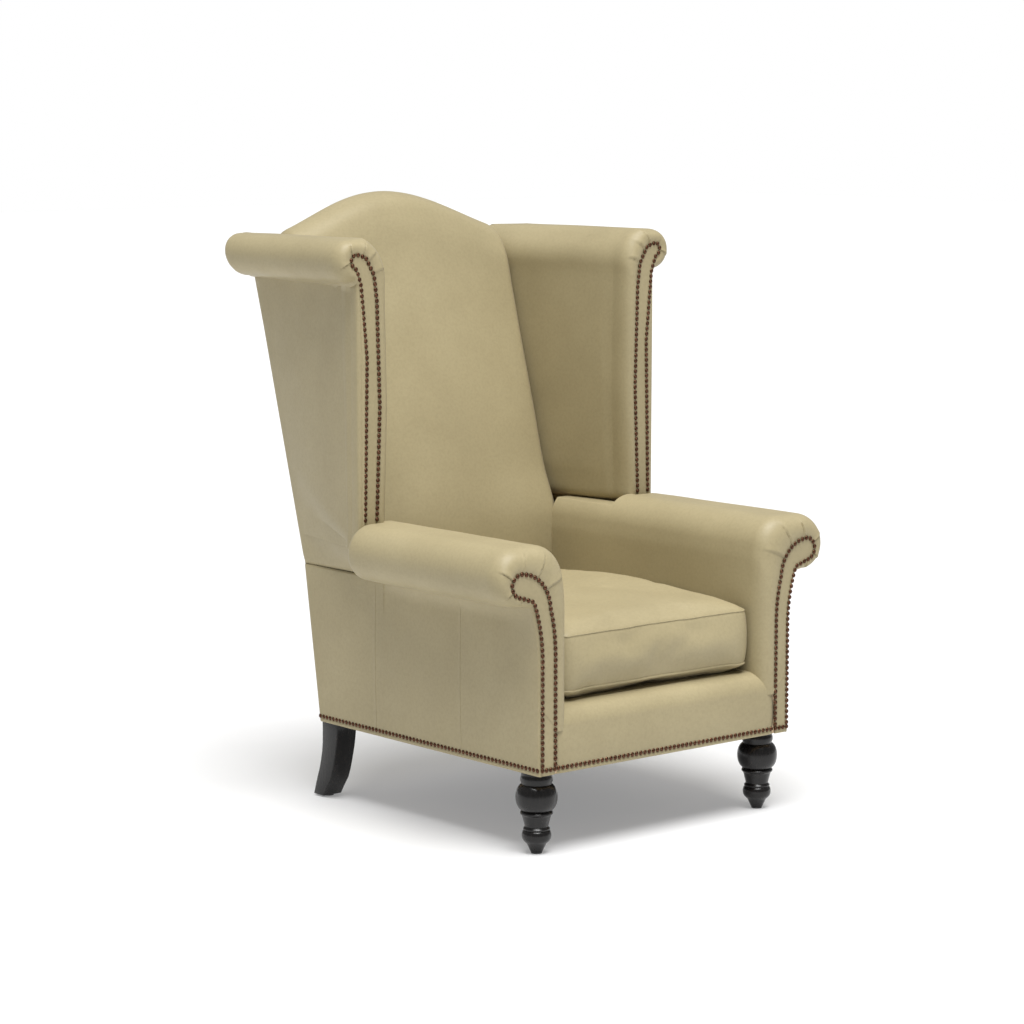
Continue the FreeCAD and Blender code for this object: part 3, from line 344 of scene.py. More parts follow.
def full_grain_leather():
    """Smooth khaki upholstery leather: soft colour clouds, fine pebbled grain and pores."""
    material, tree, shader, place = blank("smooth_khaki_leather")
    clouds = ramp(tree, noise_at(tree, place, 5.0, 4.0, 0.55), [
        (0.30, (0.345, 0.290, 0.166)), (0.52, (0.370, 0.312, 0.180)), (0.75, (0.395, 0.335, 0.196))])
    flecks = ramp(tree, noise_at(tree, place, 160.0, 3.0, 0.6), [
        (0.30, (0.93, 0.93, 0.92)), (0.55, (1.0, 1.0, 1.0)), (0.80, (1.04, 1.035, 1.03))])
    shine = spread_values(tree, noise_at(tree, place, 24.0, 5.0, 0.6), 0.40, 0.56)
    grain = node_of(tree, "TexVoronoi", {"Scale": 850.0}, Vector=place)
    grain.feature = "DISTANCE_TO_EDGE"
    fine = bump(tree, spread_values(tree, grain.outputs["Distance"], 0.0, 1.0, 0.12), 0.10, 0.0004)
    soft = bump(tree, noise_at(tree, place, 38.0, 3.0, 0.55), 0.10, 0.003, Normal=fine)
    wear(tree, shader, multiply(tree, clouds, flecks), shine, soft,
         Specular_IOR_Level=0.34, Sheen_Weight=0.04)
    return material


def satin_black_wood():
    """Black lacquered legs with the wood's grain just telling through the satin coat."""
    material, tree, shader, place = blank("satin_black_wood")
    stretch = node_of(tree, "Mapping", {"Scale": (1.0, 1.0, 0.12)}, Vector=place).outputs[0]
    grain = noise_at(tree, stretch, 190.0, 5.0)
    tint = ramp(tree, grain, [(0.35, (0.0045, 0.004, 0.0038)), (0.7, (0.011, 0.0095, 0.009))])
    wear(tree, shader, tint, spread_values(tree, grain, 0.20, 0.32), bump(tree, grain, 0.12, 0.0006),
         Specular_IOR_Level=0.32, Coat_Weight=0.12, Coat_Roughness=0.18)
    return material


def antique_nail():
    """Antiqued nail heads: dark brown in the hollows, reddish where they are rubbed."""
    material, tree, shader, place = blank("antiqued_nail_brass")
    patina = noise_at(tree, place, 420.0, 4.0, 0.6)
    rubbed = tree.nodes.new("ShaderNodeNewGeometry").outputs["Pointiness"]
    tint = ramp(tree, patina, [
        (0.30, (0.030, 0.013, 0.007)), (0.52, (0.100, 0.044, 0.024)), (0.75, (0.260, 0.130, 0.075))])
    edge = ramp(tree, rubbed, [(0.48, (0.75, 0.72, 0.70)), (0.54, (1.0, 1.0, 1.0))])
    wear(tree, shader, multiply(tree, tint, edge), spread_values(tree, patina, 0.22, 0.42),
         bump(tree, patina, 0.25, 0.0004), Metallic=0.9)
    return material


def sawn_hardwood():
    """Plain sawn hardwood of the hidden frame, with long grain and rings."""
    material, tree, shader, place = blank("sawn_frame_hardwood")
    stretch = node_of(tree, "Mapping", {"Scale": (1.0, 0.35, 0.35)}, Vector=place).outputs[0]
    rings = node_of(tree, "TexWave", {"Scale": 28.0, "Distortion": 5.0, "Detail": 3.0}, Vector=stretch)
    tint = ramp(tree, rings.outputs["Fac"], [
        (0.0, (0.50, 0.34, 0.19)), (0.6, (0.60, 0.43, 0.26)), (1.0, (0.66, 0.50, 0.32))])
    wear(tree, shader, tint, 0.7, bump(tree, noise_at(tree, place, 700.0, 4.0, 0.6), 0.25, 0.0005))
    return material


def woven(name, light, dark, threads, rough):
    """Plain weave from crossed waves of warp and weft."""
    material, tree, shader, place = blank(name)
    cross = tree.nodes.new("ShaderNodeMath")
    cross.operation = "MULTIPLY"
    for direction, socket in zip(("X", "Y"), cross.inputs):
        wave = node_of(tree, "TexWave", {"Scale": threads}, Vector=place)
        wave.bands_direction = direction
        tree.links.new(wave.outputs["Fac"], socket)
    tint = ramp(tree, cross.outputs[0], [(0.0, dark), (0.6, light)])
    wear(tree, shader, tint, rough, bump(tree, cross.outputs[0], 0.4, 0.0005))
    return material


def open_foam():
    """Cut foam with open cells."""
    material, tree, shader, place = blank("cut_polyether_foam")
    cells = node_of(tree, "TexVoronoi", {"Scale": 900.0}, Vector=place).outputs["Distance"]
    tint = ramp(tree, cells, [(0.0, (0.55, 0.47, 0.28)), (0.5, (0.80, 0.73, 0.52))])
    wear(tree, shader, tint, 0.9, bump(tree, cells, 0.5, 0.0006))
    return material


def moulded(name, colour, rough, metal=0.0):
    """Moulded nylon or zinc-plated steel with slight scuffs."""
    material, tree, shader, place = blank(name)
    scuffs = noise_at(tree, place, 260.0, 5.0, 0.65)
    tint = ramp(tree, scuffs, [
        (0.3, tuple(part * 0.8 for part in colour)), (0.7, tuple(min(part * 1.15, 1) for part in colour))])
    wear(tree, shader, tint, spread_values(tree, scuffs, rough - 0.08, rough + 0.12),
         bump(tree, scuffs, 0.1, 0.0004), Metallic=metal)
    return material


leather = full_grain_leather()
black_wood = satin_black_wood()
nail_metal = antique_nail()
hardwood = sawn_hardwood()
foam = open_foam()
canvas = woven("spring_canvas_weave", (0.62, 0.55, 0.42), (0.30, 0.25, 0.17), 260.0, 0.85)
jute = woven("jute_web_weave", (0.50, 0.37, 0.20), (0.20, 0.13, 0.06), 150.0, 0.9)
dust_cloth = woven("black_dust_cloth", (0.030, 0.030, 0.031), (0.008, 0.008, 0.008), 420.0, 0.95)
deck_cloth = woven("deck_cambric", (0.42, 0.36, 0.22), (0.22, 0.18, 0.10), 320.0, 0.85)
nylon = moulded("glide_nylon", (0.040, 0.040, 0.042), 0.45)
steel = moulded("bolt_steel", (0.55, 0.55, 0.56), 0.35, 1.0)

SIDES = (("left", 1), ("right", -1))


# Panels and padded forms
HIDE = 2 * MM


def panel(name, rows, way, nodes, side=1, smooth=50, thickness=HIDE):
    """A panel of leather from a net of rows, its grain side turned the given way."""
    piece = make(name, *net(rows), side)
    finish(piece, leather, smooth, turn_out=False)
    if sum(face.normal.dot(Vector(way)) * face.area for face in piece.data.polygons) < 0:
        piece.data.flip_normals()
    if thickness:
        apply(piece, "SOLIDIFY", thickness=thickness, offset=-1)
    stand_for(piece, nodes)


def padded_form(name, rings, nodes, side=1):
    """A closed piece from rings of the padded outline, with both ends capped."""
    points, faces = net(rings, around=True)
    wide = len(rings[0])
    faces.append(tuple(range(wide))[::-1])
    faces.append(tuple(range((len(rings) - 1) * wide, len(rings) * wide)))
    piece = make(name, points, faces, side)
    stand_for(finish(piece, leather, 60), nodes)


# Padded scrolls: the nailed face, the round behind it, and the pulled pleats
PLEAT_END = 0.45


def pleat_marks(face, full, pairs):
    """Each pleat as its place along the nail line and along the ring where it runs out."""
    hold = 1 - math.sin(PLEAT_END * math.pi / 2)
    ring = [mix(b, a, hold) for a, b in zip(face, full)]
    marks = []
    for near, far in pairs:
        first = min(range(len(face)), key=lambda i: math.dist(face[i], near))
        last = min(range(len(ring)), key=lambda i: math.dist(ring[i], far))
        marks.append((first, last))
    return marks


def run_lengths(points):
    lengths = [0.0]
    for a, b in zip(points, points[1:]):
        lengths.append(lengths[-1] + math.dist(a, b))
    return lengths


def pulled(place_in_run, lengths, marks, share, reach):
    """Height of the pulled leather beside its pleats: a lap on one side, a puff between."""
    lift = 0.0
    middle = len(lengths) // 2
    for first, last in marks:
        index = first + (last - first) * min(share / PLEAT_END, 1.6)
        index = min(max(index, 0), len(lengths) - 1)
        low = min(int(index), len(lengths) - 2)
        gap = place_in_run - (lengths[low] + (lengths[low + 1] - lengths[low]) * (index - low))
        if index > middle:
            gap = -gap
        if gap >= 0:
            lift += 3.4 * math.exp(-gap / 10.0) * (1 - math.exp(-gap / 0.5))
        lift -= 2.2 * bell(gap, 1.6)
    return lift * reach


ARM_FULL = [
    (ARM_IN, DECK - 46), (ARM_IN, ARM_TOP - 96, ARM_IN + 0.6, ARM_TOP - 79),
    (ARM_IN + 3, ARM_TOP - 63, ARM_IN + 21, ARM_TOP - 21), (ARM_IN + 67, ARM_TOP),
    (ROLL_X, ARM_TOP, ROLL_X + DIAGONAL, ROLL_Z + DIAGONAL),
    (ARM_OUT, ROLL_Z, ROLL_X + DIAGONAL, ROLL_Z - DIAGONAL), (ROLL_X, TUCK),
    (PANEL_X + 12, TUCK - 4, PANEL_X + 2, TUCK - 14), (PANEL_X - 2, TUCK - 35), (PANEL_X - 2, DECK)]
ARM_FACE = [
    (301, DECK - 46), (301, ARM_TOP - 221, 304, ARM_TOP - 169),
    (314, ARM_TOP - 120, 332, ARM_TOP - 75), (368, ARM_TOP - 51),
    (ROLL_X, ARM_TOP - 48, ROLL_X + 17, ARM_TOP - 54.5),
    (ROLL_X + 25, ARM_TOP - 71, ROLL_X + 17, ARM_TOP - 87.5), (ROLL_X + 2, ARM_TOP - 94),
    (PANEL_X + 16, ARM_TOP - 105, PANEL_X, ARM_TOP - 161), (334, ARM_TOP - 226), (334, DECK)]
ARM_COUNTS = (26, 12, 40, 24, 44, 44, 14, 14, 14)
ARM_PLEATS = [
    ((325.7, 530.8), (298.7, 543.8)), ((343.7, 559.5), (328.8, 580.6)), ((381.5, 573.2), (375.3, 595.0)),
    ((411.8, 558.4), (426.3, 570.5)), ((414.3, 529.1), (423.8, 519.0)), ((390.0, 516.7), (388.1, 501.3))]
ROUND_STEPS = [i / 22 for i in range(23)]


def rim_rings(face, full, front, depth, bulge, marks):
    """Rings from the nail line round to the full section, with the pleats pulled in."""
    lengths = run_lengths(full)
    normals = outward(full)
    rings = []
    for share in ROUND_STEPS:
        angle = share * math.pi / 2
        hold = 1 - math.sin(angle)
        y = front + depth * (1 - math.cos(angle)) - bulge * math.sin(2 * angle)
        reach = ease(share, -0.1, 0.15) * (1 - ease(share, 0.34, 0.72))
        ring = []
        for i, (inner, outer) in enumerate(zip(face, full)):
            lift = pulled(lengths[i], lengths, marks, share, reach)
            push = lift * math.sin(angle)
            x, z = mix(outer, inner, hold)
            ring.append((x + normals[i][0] * push, y - lift * math.cos(angle), z + normals[i][1] * push))
        rings.append(ring)
    for step in (6, 12, 18):
        rings.append([(x, front + depth + step, z) for x, z in full])
    return rings


def undulate(rings, amount, scale):
    """Slow unevenness of stuffing under leather."""
    for ring in rings:
        for i, (x, y, z) in enumerate(ring):
            shift = noise.noise_vector(Vector((x, y, z)) / scale) * amount
            ring[i] = (x + shift.x, y, z + shift.z)


def padded_arm(label, side):
    face = trace(ARM_FACE, ARM_COUNTS)
    full = smooth_line(trace(ARM_FULL, ARM_COUNTS), 12, sum(ARM_COUNTS[:3]))
    marks = pleat_marks(face, full, ARM_PLEATS)
    rings = rim_rings(face, full, 0, ARM_ROUND, 7.0, marks)
    body = []
    start, stop = ARM_ROUND + 18, WING_Y - 22
    steps = 22
    for step in range(1, steps + 1):
        y = start + (stop - start) * step / steps
        body.append([(x, y, z) for x, z in full])
    undulate(body, 0.8, 90)
    rings += body
    for share in (0.25, 0.5, 0.7, 0.85, 0.95, 1.0):
        keep = 0.55 + 0.45 * math.sqrt(1 - share * share)
        ring = []
        for x, z in full:
            hold = 1 - (1 - keep) * ease(x, ARM_IN + 60, ROLL_X - 10)
            ring.append((ROLL_X + (x - ROLL_X) * hold if x > ROLL_X - 50 else x,
                         stop + (WING_Y - 1 - stop) * share,
                         ROLL_Z + (z - ROLL_Z) * hold if x > PANEL_X else z))
        rings.append(ring)
    tail = [(x if x < PANEL_X - 12 else PANEL_X - 12 + 0.1 * ease(z, DECK, ARM_TOP),
             min(z, ARM_TOP - 20 - 6 * ease(x, PANEL_X - 12, PANEL_X + 60)) if x > ARM_IN + 12 else z)
            for x, z in full]
    for share in (0.02, 0.2, 0.4, 0.6, 0.8, 1.0):
        y = WING_Y + (BACK_FACE + 6 - WING_Y) * share
        rings.append([(x, y, z) for x, z in tail])
    padded_form(f"padded_arm_{label}", rings, (f"inside_arm_cover_{label}", f"arm_pad_{label}"), side)


WING_FULL = [
    (PANEL_X + 4, ARM_TOP - 18, WING_IN + 11, ARM_TOP - 16), (WING_IN + 6, ARM_TOP + 6),
    (WING_IN - 2, ARM_TOP + 234), (WING_IN + 3, WING_TOP - 90, WING_IN + 15, WING_TOP - 28),
    (WING_IN + 52, WING_TOP + 2),
    (WING_ROLL_X, WING_TOP, WING_ROLL_X + WING_DIAGONAL, WING_ROLL_Z + WING_DIAGONAL),
    (WING_OUT, WING_ROLL_Z, WING_ROLL_X + WING_DIAGONAL, WING_ROLL_Z - WING_DIAGONAL),
    (WING_ROLL_X, WING_ROLL_Z - WING_ROLL), (WING_X - 2, WING_ROLL_Z - WING_ROLL - 8),
    (WING_X - 2, ARM_TOP + 334), (WING_X - 4, ARM_TOP - 56), (PANEL_X + 2, ARM_TOP - 18)]
WING_FACE = [
    (WING_IN + 40, ARM_TOP - 16, WING_IN + 37, ARM_TOP - 14), (WING_IN + 36, ARM_TOP + 4),
    (WING_IN + 27, ARM_TOP + 234), (WING_IN + 33, WING_TOP - 125, WING_IN + 40, WING_TOP - 72),
    (WING_ROLL_X - 25, WING_TOP - 36),
    (WING_ROLL_X - 6, WING_TOP - 31, WING_ROLL_X + 6, WING_TOP - 33),
    (WING_ROLL_X + 11, WING_TOP - 43, WING_ROLL_X + 8, WING_TOP - 52),
    (WING_ROLL_X - 2, WING_TOP - 60), (WING_X - 7, WING_TOP - 92),
    (WING_X - 21, ARM_TOP + 334), (WING_X - 14, ARM_TOP - 56), (PANEL_X + 8, ARM_TOP - 18)]
WING_REAR = [
    (BACK_HALF + 22, ARM_TOP - 22, BACK_HALF + 5, ARM_TOP - 18), (BACK_HALF, ARM_TOP + 6),
    (BACK_HALF, ARM_TOP + 234), (BACK_HALF, WING_TOP - 90, BACK_HALF + 12, WING_TOP - 28),
    (BACK_HALF + 49, WING_TOP - 2),
    (WING_ROLL_X - 14, WING_TOP, WING_ROLL_X - 14 + WING_DIAGONAL, WING_ROLL_Z + WING_DIAGONAL),
    (WING_OUT - 14, WING_ROLL_Z, WING_ROLL_X - 14 + WING_DIAGONAL, WING_ROLL_Z - WING_DIAGONAL),
    (WING_ROLL_X - 14, WING_ROLL_Z - WING_ROLL), (PANEL_X, WING_ROLL_Z - WING_ROLL - 8),
    (PANEL_X - 2, ARM_TOP + 334), (PANEL_X - 2, ARM_TOP - 56), (PANEL_X - 2, ARM_TOP - 22)]
WING_COUNTS = (8, 20, 26, 34, 18, 30, 30, 8, 12, 12, 6)
WING_PLEATS = [
    ((358.5, 1122.1), (339.2, 1127.3)), ((369.9, 1150.2), (357.4, 1160.3)),
    ((389.2, 1158.5), (383.4, 1181.1)), ((420.8, 1164.1), (421.0, 1177.6)),
    ((426.8, 1142.9), (432.8, 1136.7))]


def on_roll(x, z):
    """How far a point of the wing's rear end belongs to its roll, which stops short of the back."""
    underside = WING_ROLL_Z - WING_ROLL
    return ease(x, PANEL_X - 4, PANEL_X + 60) * ease(z, underside - 12, underside - 2)


END_ROUND = 24
ROLL_SHORT = 33


def padded_wing(label, side):
    face = trace(WING_FACE, WING_COUNTS)
    inside = sum(WING_COUNTS[:4])
    full = smooth_line(trace(WING_FULL, WING_COUNTS), 10, inside)
    rear = smooth_line(trace(WING_REAR, WING_COUNTS), 10, inside)
    marks = pleat_marks(face, full, WING_PLEATS)
    rings = rim_rings(face, full, WING_Y, WING_ROUND, 7.5, marks)
    start = WING_Y + WING_ROUND
    body = []
    for share in [i / 22 for i in range(2, 22)]:
        ring = []
        for (fx, fz), (rx, rz) in zip(full, rear):
            end = rear_line(rz) - 2 - (END_ROUND + ROLL_SHORT) * on_roll(rx, rz)
            inner = (1 - ease(fx, WING_IN, WING_IN + 26)) * ease(fz, ARM_TOP - 8, ARM_TOP + 60)
            swell = 6.5 * inner * arch(share) ** 0.8
            ring.append((fx + (rx - fx) * share - swell, start + (end - start) * share,
                         fz + (rz - fz) * share))
        body.append(ring)
    undulate(body, 1.0, 110)
    rings += body
    normals = outward(rear)
    for turn in (0, 15, 30, 45, 60, 75, 90):
        angle = math.radians(turn)
        ring = []
        for (x, z), (nx, nz) in zip(rear, normals):
            hold = on_roll(x, z)
            inset = END_ROUND * (1 - math.cos(angle)) * hold
            short = (ROLL_SHORT + END_ROUND * (1 - math.sin(angle))) * hold
            ring.append((x - nx * inset, rear_line(z) - 2 - short, z - nz * inset))
        rings.append(ring)
    padded_form(f"padded_wing_{label}", rings, (f"inside_wing_cover_{label}", f"wing_pad_{label}"), side)


def flat_facing(name, side, corners, counts, front, node):
    """The flat leather face inside a nail line, puffed a little over its wadding."""
    line = trace(corners, counts)
    centre = [mix(a, b, 0.5) for a, b in zip(line, line[::-1])]
    rows = [[(x, front + 1.6, z) for x, z in line]]
    for share, rise in ((0.0, 0.0), (0.12, 0.55), (0.3, 0.9), (0.6, 1.0), (1.0, 1.0)):
        inward = [mix(a, b, share) for a, b in zip(line, centre)]
        rows.append([(x, front - 0.4 - 1.1 * rise, z) for x, z in inward])
    panel(name, rows, (0, -1, 0), (node,), side, 40, 0)


def arm_facing(label, side):
    corners = [(301, BASE_LOW + 1)] + ARM_FACE[1:-1] + [(334, BASE_LOW + 1)]
    flat_facing(f"arm_face_{label}", side, corners, ARM_COUNTS, 0, f"arm_facing_{label}")


def wing_facing(label, side):
    corners = [WING_FACE[0][:2]] + WING_FACE[1:]
    flat_facing(f"wing_face_{label}", side, corners, WING_COUNTS, WING_Y, f"wing_facing_{label}")


# Outside panels
def panel_puff(u, v):
    return 5 * (arch(u) * arch(v)) ** 1.6


UNDER_ROLL = trace(ARM_FACE[7:9], ARM_COUNTS[7:8])


def nail_line_x(z):
    """How far out the arm's outer nail line stands at a height, up to where it turns under the roll."""
    for (x1, z1), (x2, z2) in zip(UNDER_ROLL, UNDER_ROLL[1:]):
        if z2 <= z <= z1:
            return x1 + (x2 - x1) * (z1 - z) / (z1 - z2)
    return UNDER_ROLL[0][0] if z > UNDER_ROLL[0][1] else UNDER_ROLL[-1][0]


def outside_arm(label, side):
    """The outside arm: wrapped round the front edge, pieced twice, hemmed below the nails."""
    heights = [BASE_LOW, BASE_LOW + 0.8, BASE_LOW + 3, BASE_LOW + 6, BASE_LOW + 7.4, BASE_LOW + 8.2,
               BASE_LOW + 9.4, BASE_LOW + 14]
    heights += [BASE_LOW + 14 + (TUCK - 8 - BASE_LOW - 14) * i / 26 for i in range(1, 27)]
    heights += [TUCK - 6, TUCK - 4.6, TUCK - 3.8, TUCK - 3.6]
    seams = (239.5, 516.5)
    beside_seam = (-2.4, -1.2, -0.4, 0.4, 1.2, 2.4)
    rows = []
    for z in heights:
        end = rear_line(z)
        depths = [6, 12, 40, 80, 120, 160, 200, 230] + [seams[0] + s for s in beside_seam]
        depths += [250, 290, 340, 390, 440, 490, 508] + [seams[1] + s for s in beside_seam]
        depths += [530, 570, 610, 650]
        hem = -1.1 * bell(z - BASE_LOW - 7.8, 0.9) - 1.2 * ease(BASE_LOW + 2.2 - z, 0, 2.2)
        tuck = -2.5 * ease(z, TUCK - 6.5, TUCK - 3.6)
        v = (z - BASE_LOW - 12) / (TUCK - BASE_LOW - 12)
        row = [(333.8, 0.9, z), (334.4, 0.1, z), (PANEL_X - 4.4, 0.2, z)]
        for turn in (20, 40, 60, 80):
            angle = math.radians(turn)
            row.append((PANEL_X - 4.4 + (4.8 + hem) * math.sin(angle), 5 - 4.8 * math.cos(angle), z))
        for y in depths:
            u = y / end
            x = PANEL_X + 0.4 + hem + tuck
            if z > BASE_LOW + 12:
                panels = (0, seams[0], seams[1], end)
                for first, last in zip(panels, panels[1:]):
                    if first <= y < last:
                        x += 0.9 * arch((y - first) / (last - first)) ** 0.5 * ease(v, 0, 0.06)
            for seam in seams if z < TUCK - 24 else ():
                x += 0.5 * bell(y - seam - 1.2, 0.8) - 0.8 * bell(y - seam, 0.6)
            x += panel_puff(u, v) * 0.6
            row.append((x, y, z))
        for back in (30, 12, 7):
            row.append((PANEL_X + 0.4 + hem + tuck + panel_puff(1 - back / end, v) * 0.3, end - back, z))
        for turn in (20, 45, 70, 90):
            angle = math.radians(turn)
            row.append((PANEL_X - 5.6 + 6 * math.cos(angle) + hem + tuck, end - 6 + 6 * math.sin(angle), z))
        flare = 12.5 * ease(z, TUCK - 38, TUCK - 3) ** 1.6
        lifted = 17 * ease(z, TUCK - 110, TUCK - 3)
        front_out = nail_line_x(z + lifted) - 334
        shaped = []
        for x, y, height in row:
            near = 1 - ease(y, 0, 70)
            under_roll = 1 - ease(y, WING_Y - 60, WING_Y - 8)
            shaped.append((x + flare * (1 - near) * under_roll + front_out * near, y, height + lifted * near))
        rows.append(shaped)
    panel(f"outside_arm_{label}", rows, (side, 0, 0), (f"outside_arm_cover_{label}",), side)


def outside_wing(label, side):
    """The outside wing: wrapped round the front edge and closed along the arm by a seam."""
    counts = (14, 8, 24, 10)
    outer = smooth_line(trace([
        (PANEL_X + 1, TUCK - 3.4, PANEL_X + 34, TUCK + 6),
        (WING_X - 12, ARM_TOP - 80, WING_X - 3, ARM_TOP - 68),
        (WING_X, ARM_TOP - 40), (WING_X + 1, ARM_TOP + 334), (WING_X + 1, WING_ROLL_Z - WING_ROLL + 4)],
        counts), 3)
    nail_line = smooth_line(trace([
        (PANEL_X, TUCK + 6, PANEL_X + 14, TUCK + 18),
        (WING_X - 22, ARM_TOP - 74, WING_X - 16, ARM_TOP - 64),
        (WING_X - 14, ARM_TOP - 46), (WING_X - 21, ARM_TOP + 334), (WING_X - 7, WING_TOP - 92)],
        counts), 3)
    normals = outward(outer)
    rows = []
    low, high = outer[0][1], outer[-1][1]
    count = len(outer)
    for i, ((x, z), (nx, nz)) in enumerate(zip(outer, nail_line)):
        v = i / (count - 1)
        rear_x, rear_z = PANEL_X + 0.6, low + (high - low) * v
        end = rear_line(rear_z)
        out = (-normals[i][0], -normals[i][1])
        tuck = 2.2 * (1 - ease(v, 0, 0.03))
        row = [(nx, WING_Y + 1.2, nz), (nx + (x - nx) * 0.08, WING_Y - 0.3, nz + (z - nz) * 0.08)]
        row.append((x - out[0] * 6.5, WING_Y - 0.9, z - out[1] * 6.5))
        for turn in (18, 36, 54, 72, 90):
            angle = math.radians(turn)
            row.append((x - out[0] * (6.5 - 6.5 * math.sin(angle)), WING_Y + 5.6 - 6.5 * math.cos(angle),
                        z - out[1] * (6.5 - 6.5 * math.sin(angle))))
        for share in [s / 20 for s in range(1, 20)]:
            px = x + (rear_x - x) * share
            pz = z + (rear_z - z) * share
            swell = panel_puff(share, v) * 0.9
            row.append((px + swell * max(out[0], 0.3) - tuck, WING_Y + 6 + (end - 8 - WING_Y - 6) * share,
                        pz + tuck * 0.6))
        for turn in (0, 25, 50, 75, 90):
            angle = math.radians(turn)
            row.append((rear_x - 7 + 7 * math.cos(angle) - tuck, end - 7 + 7 * math.sin(angle),
                        rear_z + tuck * 0.6))
        rows.append(row)
    panel(f"outside_wing_{label}", rows, (side, 0, 0), (f"outside_wing_cover_{label}",), side)


for label, side in SIDES:
    padded_arm(label, side)
    padded_wing(label, side)
    arm_facing(label, side)
    wing_facing(label, side)
    outside_arm(label, side)
    outside_wing(label, side)


# Back
def back_profile(across):
    """The stuffed back in side view, from its foot over the camel top and down behind."""
    share = min(abs(across) / BACK_HALF, 1)
    crown = 22 * (1 - share ** 2)
    top = camel(across) - 14
    knots = [(BACK_FACE, DECK + 2), (BACK_FACE, DECK + 120), (BACK_FACE, LEAN_START + 20),
             (BACK_FACE + 4, LEAN_START + 70)]
    knots += [lean_point(105 + crown * 0.85, LEAN_START + 150), lean_point(105 + crown, LEAN_START + 230),
              lean_point(105 + crown, LEAN_START + 420), lean_point(105 + crown * 0.7, top - 150),
              lean_point(105 + crown * 0.3, top - 68), lean_point(94 + crown * 0.3, top - 32),
              lean_point(71, top - 8), lean_point(39, top + 1), lean_point(13, top - 11),
              lean_point(2, top - 38), lean_point(2, top - 120), lean_point(2, 800), lean_point(2, 600)]
    knots += [(BREAK_Y - 2, LEAN_START), (rear_line(DECK) - 2, DECK)]
    return knots


def through(knots, step):
    """Points along a smooth curve through knots, with a step of about the given length."""
    points = []
    for i in range(len(knots) - 1):
        p0, p1, p2, p3 = knots[max(i - 1, 0)], knots[i], knots[i + 1], knots[min(i + 2, len(knots) - 1)]
        chord = math.dist(p1, p2)
        before = math.dist(p0, p1) or chord
        after = math.dist(p2, p3) or chord
        steps = max(2, int(chord / step))
        ends = []
        for k in (0, 1):
            slope = (p2[k] - p1[k]) / chord
            m1 = m2 = slope
            if p0 != p1:
                m1 = (slope * before + (p1[k] - p0[k]) / before * chord) / (before + chord)
            if p3 != p2:
                m2 = ((p3[k] - p2[k]) / after * chord + slope * after) / (after + chord)
            ends.append((p1[k], m1 * chord, p2[k], m2 * chord))
        for s in range(steps):
            t = s / steps
            shares = (2 * t ** 3 - 3 * t ** 2 + 1, t ** 3 - 2 * t ** 2 + t,
                      3 * t ** 2 - 2 * t ** 3, t ** 3 - t ** 2)
            points.append(tuple(sum(a * b for a, b in zip(shares, end)) for end in ends))
    points.append(tuple(knots[-1]))
    return points


def stuffed_back():
    """The stuffed back: stations across it, each rounded in towards the sides."""
    edge = 24
    flat = [-(BACK_HALF - edge) + 2 * (BACK_HALF - edge) * i / 44 for i in range(45)]
    turn = [math.radians(a) for a in (12, 25, 38, 52, 66, 80, 90)]
    stations = [(x, 0.0) for x in flat]
    stations += [(BACK_HALF - edge + edge * math.sin(a), edge * (1 - math.cos(a))) for a in turn]
    stations = [(-x, d) for x, d in stations[:44:-1]] + stations
    base = len(through(back_profile(0), 9))
    rows = []
    for x, inset in stations:
        line = resample(through(back_profile(x), 9), base)
        # The outline runs up the front, so the stuffing lies to the right of its run
        rows.append([(x, y - ny * inset, z - nz * inset) for (y, z), (ny, nz) in zip(line, outward(line))])
    for row in rows:
        for i, (x, y, z) in enumerate(row):
            row[i] = (x, y + noise.noise(Vector((x, y, z)) / 140) * 1.2, z)
    padded_form("stuffed_back", rows, ("inside_back_cover", "back_pad"))


def resample(points, count):
    lengths = run_lengths(points)
    result = []
    j = 0
    for i in range(count):
        goal = lengths[-1] * i / (count - 1)
        while j < len(lengths) - 2 and lengths[j + 1] < goal:
            j += 1
        gap = lengths[j + 1] - lengths[j] or 1
        t = (goal - lengths[j]) / gap
        result.append(mix(points[j], points[j + 1], t))
    return result


stuffed_back()


def outside_back():
    """The outside back panel, turned in along its top edge and hemmed below the nails."""
    rows = []
    width = PANEL_X - 5
    columns = [-width + 2 * width * i / 48 for i in range(49)]
    for i in range(70):
        v = i / 69
        row = []
        for x in columns:
            top = camel(x) - 52 + 36 * ease(abs(x), BACK_HALF - 6, BACK_HALF + 10)
            z = BASE_LOW + (top - BASE_LOW) * v
            y = rear_line(z)
            y += 1.2 * bell(z - LEAN_START, 25)
            y += 2.2 * arch((x + width) / (2 * width)) * arch(v) ** 0.5
            y -= 2.4 * ease(v, 0.992, 1.0)
            y -= bell(z - BASE_LOW - 8, 2.2)
            row.append((x, y - 0.1, z))
        rows.append(row)
    panel("outside_back", rows, (0, 1, 0), ("outside_back_cover",))


outside_back()


